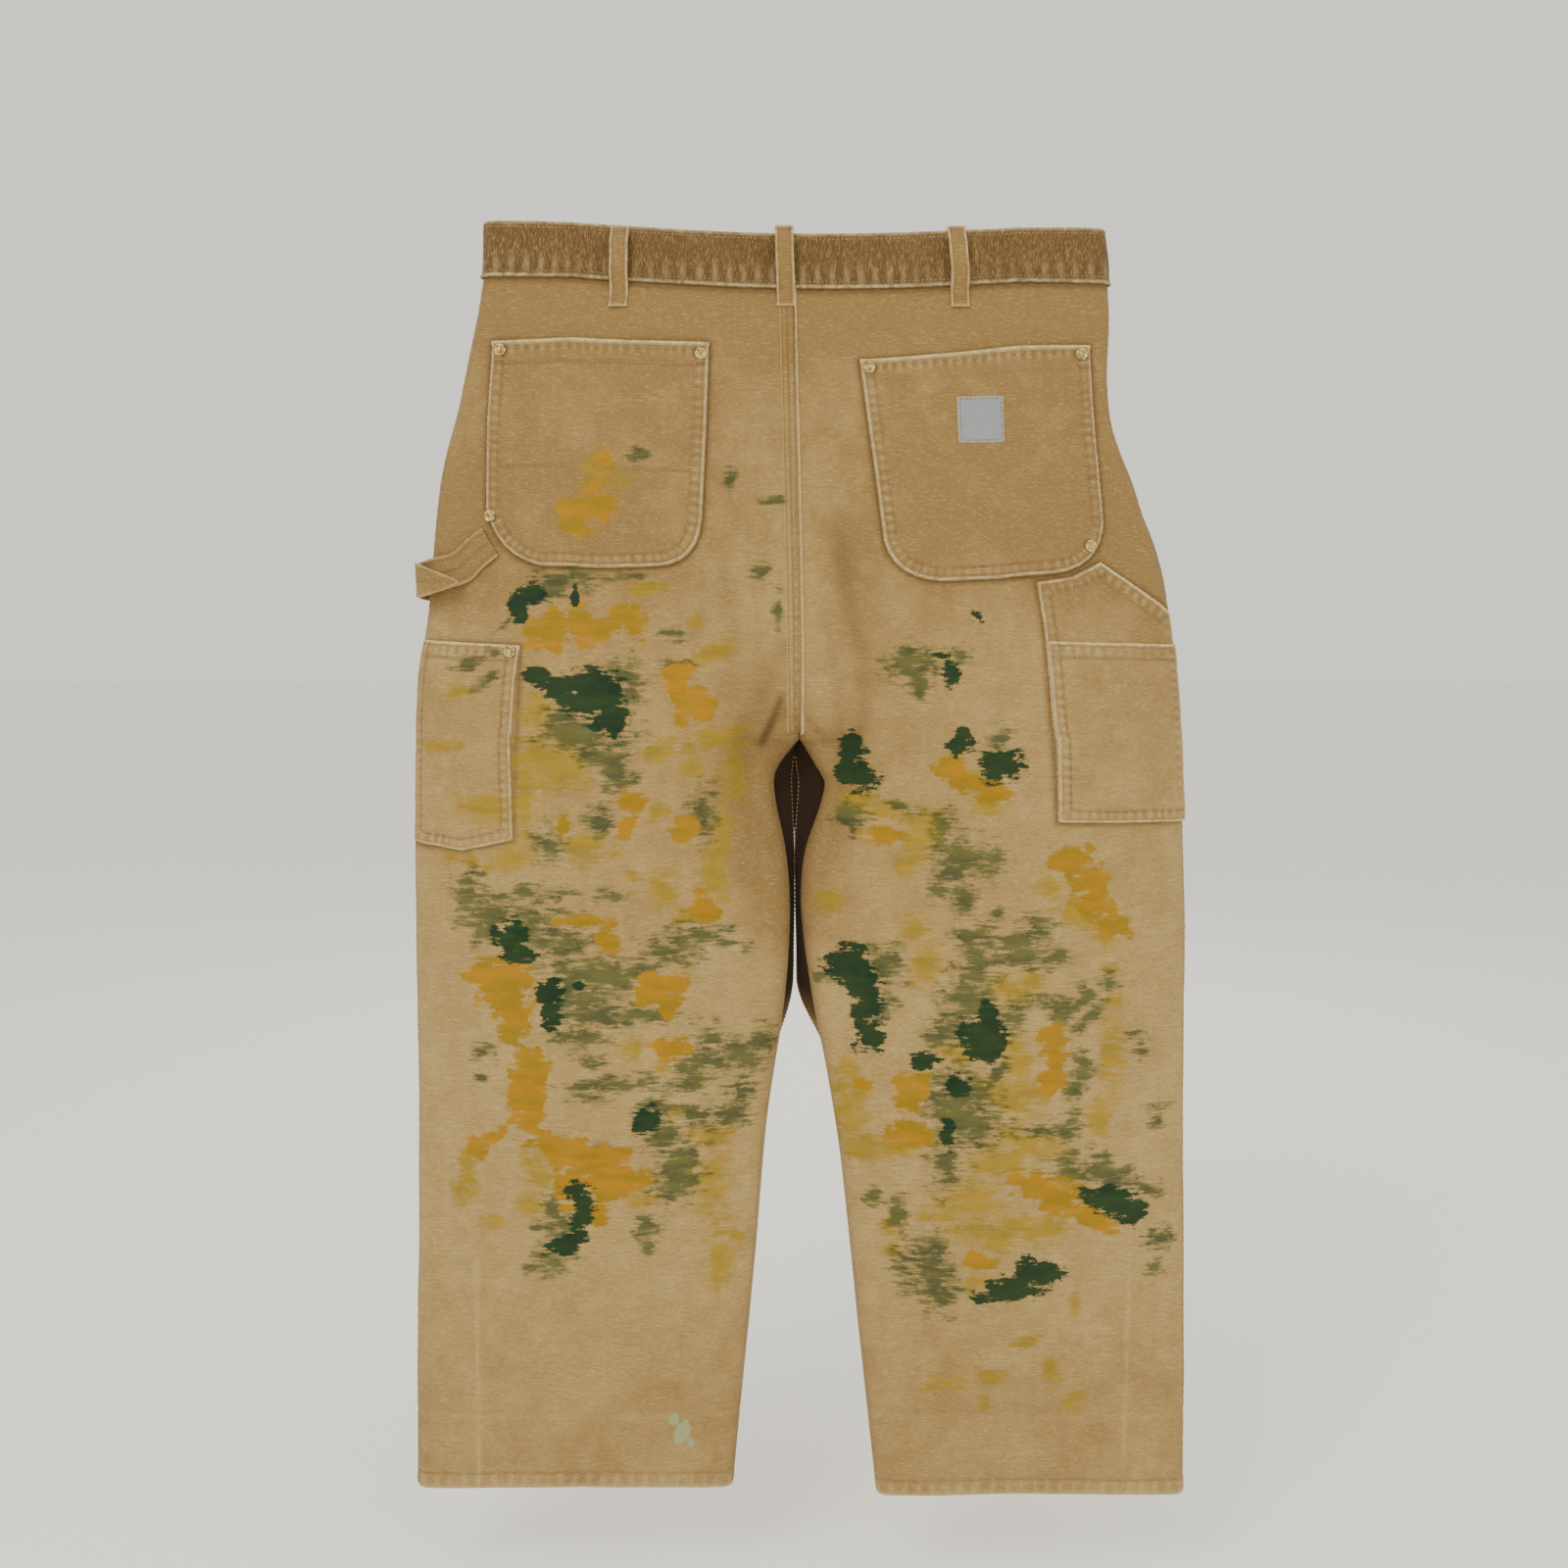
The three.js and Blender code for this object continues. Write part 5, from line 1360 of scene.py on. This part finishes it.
def waistband():
    start = right.find(BAND_END + 0.8, BAND_MIDDLE, True)[0]
    end = right.find(BAND_END, BAND_MIDDLE, True)[0]
    runs = [
        (right, np.linspace(start, 0.0008, 340)),
        (left, np.linspace(0.0008, 0.9995, 350)),
        (right, np.linspace(0.9995, end, 14)),
    ]
    section = band_profile()
    level = section[:, 1]
    rings, along, round_mm = [], [], 0.0
    for half, stations in runs:
        a, _ = flat_of(half, stations, BAND_MIDDLE + 0 * stations)
        t = (round_mm + np.concatenate([[0], np.cumsum(np.abs(np.diff(a)))]))[:, None]
        round_mm = t[-1, 0]
        u = stations[:, None] + 0 * level
        p = half.at(u, np.minimum(level, 0) + 0 * u, band_height(section, t))
        p[..., 2] += np.maximum(level, 0)
        rings.append(p)
        along.append(t + 0 * level)
    outer, t = np.concatenate(rings), np.concatenate(along)
    rows, columns = t.shape
    quads = grid_quads(rows, columns, True)
    points = outer.reshape(-1, 3)
    if volume(points - points.mean(0), quads) < 0:
        quads = quads[:, ::-1]
    first, last = list(range(columns)), [(rows - 1) * columns + k for k in range(columns)]
    faces = quads.tolist() + [first, last[::-1]]
    made = make("waistband", points, faces, BAND, band_fields(outer, section, t))
    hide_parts("waistband")
    for half, stations in runs:
        u = stations[::2]
        for row in BAND_ROWS:
            sew_at("waistband", half, u, row + 0 * u, BAND_OUT - 0.15)


waistband()


# ---------------------------------------------------------------------------------------------
# Belt loops
# ---------------------------------------------------------------------------------------------
LOOP_WIDTH = 14
LOOPS = [
    ("belt_loop_back_left", -131, False),
    ("belt_loop_back_centre", -7, False),
    ("belt_loop_back_right", 123.5, False),
    ("belt_loop_front_left", -104, True),
    ("belt_loop_front_right", 104, True),
]
# How far below its top each part of a loop is, and how far its underside stands off the panel.
LOOP_PATH = [(1, 2.8), (6, 3.0), (12, 7.2), (22, 8.4), (34, 7.2), (44, 3.2), (50, 0.9), (61, 0.7)]


def belt_loop(name, x, front):
    half = left if x < float(front_seam_x(-30) if front else back_seam_x(-30)) else right
    u, level = half.find(float(x), -10.0, front)
    top = float(level) + 8
    u = float(half.find(float(x), -30.0, front)[0])
    drops = np.linspace(LOOP_PATH[0][0], LOOP_PATH[-1][0], 62)
    off = curve([(d, o) for d, o in LOOP_PATH])(drops)
    across = np.linspace(-LOOP_WIDTH / 2, LOOP_WIDTH / 2, 21)
    level = (top - drops)[:, None] + 0 * across[None]
    c = np.abs(across)[None] + 0 * level
    t = drops[:, None] + 0 * c
    seed = 80 + int(abs(x)) % 9
    bead = bell(c, 6.1, 0.75)
    raised = 0.45 * bead - 0.4 * bell(c, 4.6, 0.6) - 0.7 * smoothstep(6.5, 7.0, c)
    raised += 0.18 * puckers(t, 6, seed) * bell(c, 5.5, 1.6)
    u_all = u + 0 * level
    outer = half.at(u_all, np.minimum(level, 0), off[:, None] + 1.7 + raised)
    inner = half.at(u_all, np.minimum(level, 0), off[:, None] + 0.1 + 0 * c)
    for p in (outer, inner):
        p[..., 2] += np.maximum(level, 0)
        p[..., 0] += across[None]
    wear = 0.9 * bead * (0.75 + 0.35 * noise(t, c, 3, 2, seed)) + 0.6 * smoothstep(58.5, 61, t)
    wear += 0.5 * (1 - smoothstep(1, 3.5, t))
    shade = 0.35 * bell(c, 4.6, 0.6) + 0.3 * bell(t, 55.5, 1.0)
    fields = fields_at(outer, True, 0.35, np.clip(wear, 0, 1), np.clip(shade, 0, 1), painted=False)
    made = sheet_object(name, outer, inner, CANVAS, fields)
    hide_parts(name)
    declare(made, LOOP_WIDTH, 64)
    out = half.at(u_all, np.minimum(level, 0), 1.0) - half.at(u_all, np.minimum(level, 0), 0.0)
    for column in (3, 17):
        sew("loops", outer[:, column] + out[:, column] * 0.1, out[:, column])
    for drop in (3, 4.6, 52, 53.6, 55.2):
        row = int(np.argmin(np.abs(drops - drop)))
        sew("loops", outer[row, 3:18] + out[row, 3:18] * 0.1, out[row, 3:18])


for loop in LOOPS:
    belt_loop(*loop)


# ---------------------------------------------------------------------------------------------
# Hammer loop
# ---------------------------------------------------------------------------------------------
STRAP_WIDTH = 25
# Upper and lower edge of the strap: first (x, z) on the cloth, then free (x, y, z).
STRAP_ON_CLOTH = [
    ((-237, -229), (-224.5, -250)), ((-249, -238), (-236, -259)), ((-261, -248), (-247, -269)),
]
STRAP_FREE = [
    ((-276, -19, -252), (-266, -25, -276)), ((-285, -13, -254), (-279, -17, -279)),
    ((-289, -4, -255), (-288, -5, -281)), ((-288.5, 5, -256), (-288, 5, -282)),
    ((-284, 12, -258), (-284, 12, -283)), ((-277.5, 14, -259), (-278.5, 14, -284)),
]
# The strap's lower edge is folded over towards the viewer, and ends in a point.
FOLD_FREE = [
    ((-289.5, -2, -255), (-288.5, -3, -281)), ((-289, -14, -255), (-288, -15, -281)),
    ((-283, -25, -257), (-282, -26, -281)), ((-272, -31, -261.5), (-271, -31, -278)),
    ((-261, -33, -266), (-260, -33, -274)), ((-253.5, -33, -269.5), (-253.5, -33, -271)),
]


def strap(name, rows, grooves, seed, columns=19, steps=90):
    """A sheet between two edges, given at a few places along it."""
    rows = np.array(rows, float)
    middle = rows.mean(1)
    along = np.concatenate([[0], np.cumsum(np.linalg.norm(np.diff(middle, axis=0), axis=1))])
    t = np.linspace(0, along[-1], steps)
    upper, lower = (
        np.stack([curve(list(zip(along, rows[:, edge, k])))(t) for k in range(3)], 1) for edge in (0, 1)
    )
    s = np.linspace(0, 1, columns)[None, :, None]
    base = upper[:, None] * (1 - s) + lower[:, None] * s
    n = np.cross(np.gradient(base, axis=0), np.gradient(base, axis=1))
    n /= np.maximum(np.linalg.norm(n, axis=2, keepdims=True), 1e-9)
    if n[0, 0, 1] > 0:
        n = -n
    wide = np.linalg.norm(lower - upper, axis=1)[:, None]
    c = np.minimum(s[..., 0], 1 - s[..., 0]) * wide
    place = s[..., 0] * STRAP_WIDTH
    h = 0.5 * bell(c, 0.9, 0.7) + 0 * place
    shade = 0 * h
    for row in grooves:
        h = h - 0.5 * bell(place, row, 0.8)
        shade = shade + 0.5 * bell(place, row, 0.9)
    h += 0.25 * noise(place, t[:, None] + 0 * h, 6, 7, seed)
    wear = 0.9 * bell(c, 0, 1.0) * (0.7 + 0.4 * noise(place, t[:, None] + 0 * h, 2, 3, seed + 1))
    outer = base + n * (CLOTH + h)[..., None]
    fields = fields_at(outer, True, 0.0, np.clip(wear, 0, 1), np.clip(shade, 0, 1), painted=False)
    made = sheet_object(name, outer, base, CANVAS, fields)
    declare(made, STRAP_WIDTH, float(along[-1]))
    for row in grooves:
        column = int(round(row / STRAP_WIDTH * (columns - 1)))
        sew("hammer_loop", outer[:, column] + 0.1 * n[:, column], n[:, column])
    return made


def hammer_loop():
    rows = []
    for edges in STRAP_ON_CLOTH:
        rows.append([on_cloth(x, z, False, 1.3) for x, z in edges])
    rows += [[np.array(p, float) for p in edges] for edges in STRAP_FREE]
    made = strap("hammer_loop", rows, (3.5, 12.5, 21.5), 91)
    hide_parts("hammer_loop")
    strap("hammer_loop_fold", FOLD_FREE, (12.5,), 95, steps=50)


hammer_loop()


# ---------------------------------------------------------------------------------------------
# Rivets and the waist button
# ---------------------------------------------------------------------------------------------
def turned(name, profile, at, out, material, body="trousers", sides=40):
    """A turned body whose axis points out of the cloth; the profile is (radius, distance out)."""
    out = Vector(out).normalized()
    across = out.orthogonal().normalized()
    up = out.cross(across)
    a = np.linspace(0, 2 * math.pi, sides, endpoint=False)
    rings = []
    for radius, rise in profile:
        ring = np.array(at)[None] + rise * np.array(out)[None]
        ring = ring + radius * (np.cos(a)[:, None] * np.array(across) + np.sin(a)[:, None] * np.array(up))
        rings.append(ring)
    points = np.concatenate(rings)
    quads = grid_quads(len(profile), sides, True)
    faces = quads.tolist()
    last = (len(profile) - 1) * sides
    faces += [list(range(sides)), [last + k for k in range(sides)][::-1]]
    if volume(points - points.mean(0), quads) < 0:
        faces = [f[::-1] for f in faces]
    return make(name, points, faces, material, body=body)


def rounded(profile, times=2):
    """A profile with its corners cut, so that a turned edge catches the light."""
    p = [np.array(q, float) for q in profile]
    for _ in range(times):
        smooth = [p[0]]
        for a, b in zip(p[:-1], p[1:]):
            smooth += [a * 0.75 + b * 0.25, a * 0.25 + b * 0.75]
        p = smooth + [p[-1]]
    return [tuple(q) for q in p]


RIVET = [(0.05, -3.4), (3.7, -3.2), (3.9, -2.6), (1.3, -2.4), (1.3, 0.2), (4.5, 0.15), (4.75, 0.7),
         (4.3, 1.35), (3.5, 1.35), (2.9, 0.75), (2.3, 0.7), (2.0, 1.25), (1.45, 1.35), (1.2, 0.95),
         (0.75, 0.95), (0.5, 1.5), (0.05, 1.6)]
# How far out of the panel the cloth under each kind of rivet is.
RIVET_OUT = {"rivet_back": 3.7, "rivet_tool": 2.0, "rivet_front": 0.1}


def rivets():
    for name, x, z, front in RIVETS:
        out = next(d for start, d in RIVET_OUT.items() if name.startswith(start))
        at = on_cloth(x, z, front, out)
        made = turned(name, rounded(RIVET), at, out_of_cloth(x, z, front), BRASS)
        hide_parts(name)


BUTTON = [(0.05, 4.1), (1.6, 4.1), (1.75, 3.2), (1.75, -3.0), (2.6, -3.1), (2.75, 2.5), (8.0, 2.5),
          (8.6, 3.2), (8.4, 4.4), (7.5, 4.95), (6.7, 4.5), (5.4, 4.45), (4.9, 4.75), (2.0, 5.0), (0.05, 5.0)]
BUTTON_AXIS = (0.0004, 0.9985, 0.0551)


def waist_button():
    low, high = np.array(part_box("waist_button")) * 1000
    axis = np.array(BUTTON_AXIS)
    seat = (low + high) / 2 - axis * 0.9
    made = turned("waist_button", rounded(BUTTON[::-1], 1), seat, axis, BRASS, body="button", sides=56)
    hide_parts("waist_button")


rivets()
waist_button()


# ---------------------------------------------------------------------------------------------
# The front: pocket openings, fly, and what is behind them
# ---------------------------------------------------------------------------------------------
def inside_piece(name, half, outline, out, material, thick=1.4):
    """A hidden layer of cloth a fixed distance from the front panel's outer face."""

    def height(d, along, a, level):
        return out + 0.25 * noise(a, level, 22, 26, 5), 0.3 * bell(d, 0, 1.5), 0 * d

    patch(name, half, outline, height, material, thick=thick, front=True, painted=False)


def front_pockets():
    for side, half in (("left", left), ("right", right)):
        s = half.sign
        facing = [(106 * s, -8), (120 * s, -140), (None, -172), (None, -8)]
        inside_piece("pocket_facing_" + side, half, facing, -2.0, CANVAS)
        out = float(half.outer(-190)) - 14
        low = bend((112, -230), (114, -292), (165, -294), 5) + bend((205, -294), (out, -288), (out, -225), 5)
        bag = [(98 * s, -8), *[(x * s, z) for x, z in low], (out * s * 0.95, -8)]
        inside_piece("pocket_bag_" + side, half, bag, -4.0, LINING, 0.9)
        edge = scoop_line(s)

        def height(c, t):
            h = 0.5 + 0.9 * bell(np.abs(c), 3.6, 0.9) - 0.5 * bell(c, 0, 0.8)
            return h * (1 - 0.6 * smoothstep(4.3, 5.2, np.abs(c))) + 0.2 * puckers(t, 8, 97) + 0 * c

        def fields_of(c, t):
            wear = 0.85 * bell(np.abs(c), 4.2, 0.9) + 0 * t
            return wear, 0.4 * bell(c, 0, 0.9) + 0 * t

        ribbon("scoop_edge_" + side, edge, np.linspace(-5.2, 5.2, 15), height, fields_of, front=True)
        sew_on_cloth("front", edge, 0.9, True)


FLY_FACING = [(3.2, -8), (3.2, -204), (-14, -202), (-40, -178), (-42, -8)]
FLY_LINE = [(-38, -44), (-39, -150), *bend((-38, -170), (-32, -196), (0, -206), 6)]


def fly():
    inside_piece("fly_facing", left, FLY_FACING, -2.0, CANVAS)
    for gap in (0, 6):
        line = []
        for x, z in FLY_LINE:
            line.append((x + gap * (0.97 if x < -20 else 0.4), z + gap * (0.9 if z < -160 else 0)))
        sew_on_cloth("front", line, 0.2, True)
    seam = [(float(front_seam_x(z)) + 0.5, z) for z in np.linspace(-BAND_HEIGHT + 2, -382, 36)]

    def height(c, t):
        h = 0.3 + 1.1 * bell(c, 1.6, 1.1) + 0.6 * smoothstep(-7, -5.5, c)
        return h * (1 - 0.85 * smoothstep(2.4, 3.6, c)) - 0.4 * bell(c, -4, 0.8) + 0.2 * puckers(t, 9, 98)

    def fields_of(c, t):
        return 0.8 * bell(c, 1.9, 0.9) + 0 * t, 0.4 * bell(c, -4, 0.9) + 0 * t

    ribbon("fly_edge", seam, np.linspace(-7.2, 3.6, 17), height, fields_of, front=True)
    sew_on_cloth("front", [(x - 4, z) for x, z in seam], 0.6, True)


SHIELD = [(-2, 4.4), (-36, 4.4), (-50, 13.2), (-120, 13.2), (-206, 13.2)]


def fly_shield():
    """The flap behind the zip."""
    depth = curve([(level, behind) for level, behind in SHIELD])
    level = np.linspace(SHIELD[0][0], SHIELD[-1][0], 90)[:, None]
    x = np.linspace(-19, 22, 24)[None, :]
    x, level = x + 0 * level, level + 0 * x
    places = []
    for half in (left, right):
        u, _ = half.find(x, np.full(x.shape, -60.0), True)
        places.append((half, u))
    outer, inner = (
        np.where((x < float(front_seam_x(-60)))[..., None], *[
            half.at(u, level, -depth(level) - extra) for half, u in places])
        for extra in (0, 1.5)
    )
    made = sheet_object("fly_shield", outer, inner, CANVAS, fields_at(outer, False, 0.1))
    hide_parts("fly_shield")
    declare(made, 41, 204)


front_pockets()
measure_round(left, 1.0)
fly()
fly_shield()


# ---------------------------------------------------------------------------------------------
# Rows of stitches along the long seams and hems
# ---------------------------------------------------------------------------------------------
def long_rows():
    for half in (left, right):
        for station in (0.5 - 0.012, 0.5 + 0.012):
            level = np.linspace(-45, half.hem + 3, 420)
            sew_at("side_seams", half, station + 0 * level, level, 0.15)
        u = np.linspace(0.004, 0.996, 300)
        level = np.full(u.shape, half.hem + 12.5)
        sew_at("hems", half, u, level, 0.1)
        level = np.linspace(CROTCH_Z - 12, half.hem + 3, 280)
        for station in (0.012, 0.988):
            sew_at("inseams", half, station + 0 * level, level, 0.15)


long_rows()
make_stitches()


# ---------------------------------------------------------------------------------------------
# Metal and tape that keep their CAD shapes
# ---------------------------------------------------------------------------------------------
def repaint_cad():
    kept = {"zipper_tape_left": TAPE, "zipper_tape_right": TAPE}
    metal_nodes = ["zipper_teeth_left", "zipper_teeth_right", "zipper_top_stop_left", "zipper_top_stop_right",
                   "zipper_bottom_stop", "zipper_slider", "zipper_pull", "button_tack"]
    kept.update({name: BRASS for name in metal_nodes})
    for name, material in kept.items():
        mesh = frame["nodes"][name].data
        mesh.materials.clear()
        mesh.materials.append(material)


repaint_cad()


# ---------------------------------------------------------------------------------------------
# Camera, light and floor
# ---------------------------------------------------------------------------------------------
CAMERA_PLACE = (-0.0078, -1.30, -0.3235)
CAMERA_TILT = 4.5  # degrees downwards
FLOOR_Z = -1.08
FLOOR_HALF = 40
LIGHT_TARGET = (0, 0, -0.45)


def camera():
    data = bpy.data.cameras.new("camera")
    data.sensor_width = 36
    data.lens = 38.25
    made = bpy.data.objects.new("camera", data)
    made.location = CAMERA_PLACE
    made.rotation_euler = (math.radians(90 - CAMERA_TILT), 0, 0)
    bpy.context.collection.objects.link(made)
    bpy.context.scene.camera = made


def area_light(name, place, size, power, colour):
    data = bpy.data.lights.new(name, "AREA")
    data.shape = "RECTANGLE"
    data.size, data.size_y = size, size
    data.energy = power
    data.color = colour
    made = bpy.data.objects.new(name, data)
    made.location = place
    made.rotation_euler = (Vector(LIGHT_TARGET) - Vector(place)).to_track_quat("-Z", "Y").to_euler()
    bpy.context.collection.objects.link(made)


def floor():
    n = Nodes("floor")
    n.shader.inputs["Base Color"].default_value = srgb(252, 250, 243)
    n.shader.inputs["Roughness"].default_value = 0.9
    corners = [(x * FLOOR_HALF, y * FLOOR_HALF, FLOOR_Z) for x, y in ((-1, -1), (1, -1), (1, 1), (-1, 1))]
    mesh = bpy.data.meshes.new("floor")
    mesh.from_pydata(corners, [], [(0, 1, 2, 3)])
    mesh.materials.append(n.material)
    made = bpy.data.objects.new("floor", mesh)
    bpy.context.collection.objects.link(made)


def world():
    made = bpy.data.worlds.new("world")
    made.use_nodes = True
    sky = made.node_tree.nodes["Background"]
    sky.inputs["Color"].default_value = srgb(236, 234, 226)
    sky.inputs["Strength"].default_value = 1.25
    bpy.context.scene.world = made


camera()
floor()
world()
area_light("key", (-1.3, -2.2, 1.6), 1.2, 40, (1.0, 0.98, 0.95))
area_light("fill", (1.9, -1.8, 0.3), 1.8, 12, (1.0, 0.99, 0.97))
area_light("back", (0.3, 2.4, 1.4), 1.8, 26, (1.0, 0.99, 0.97))
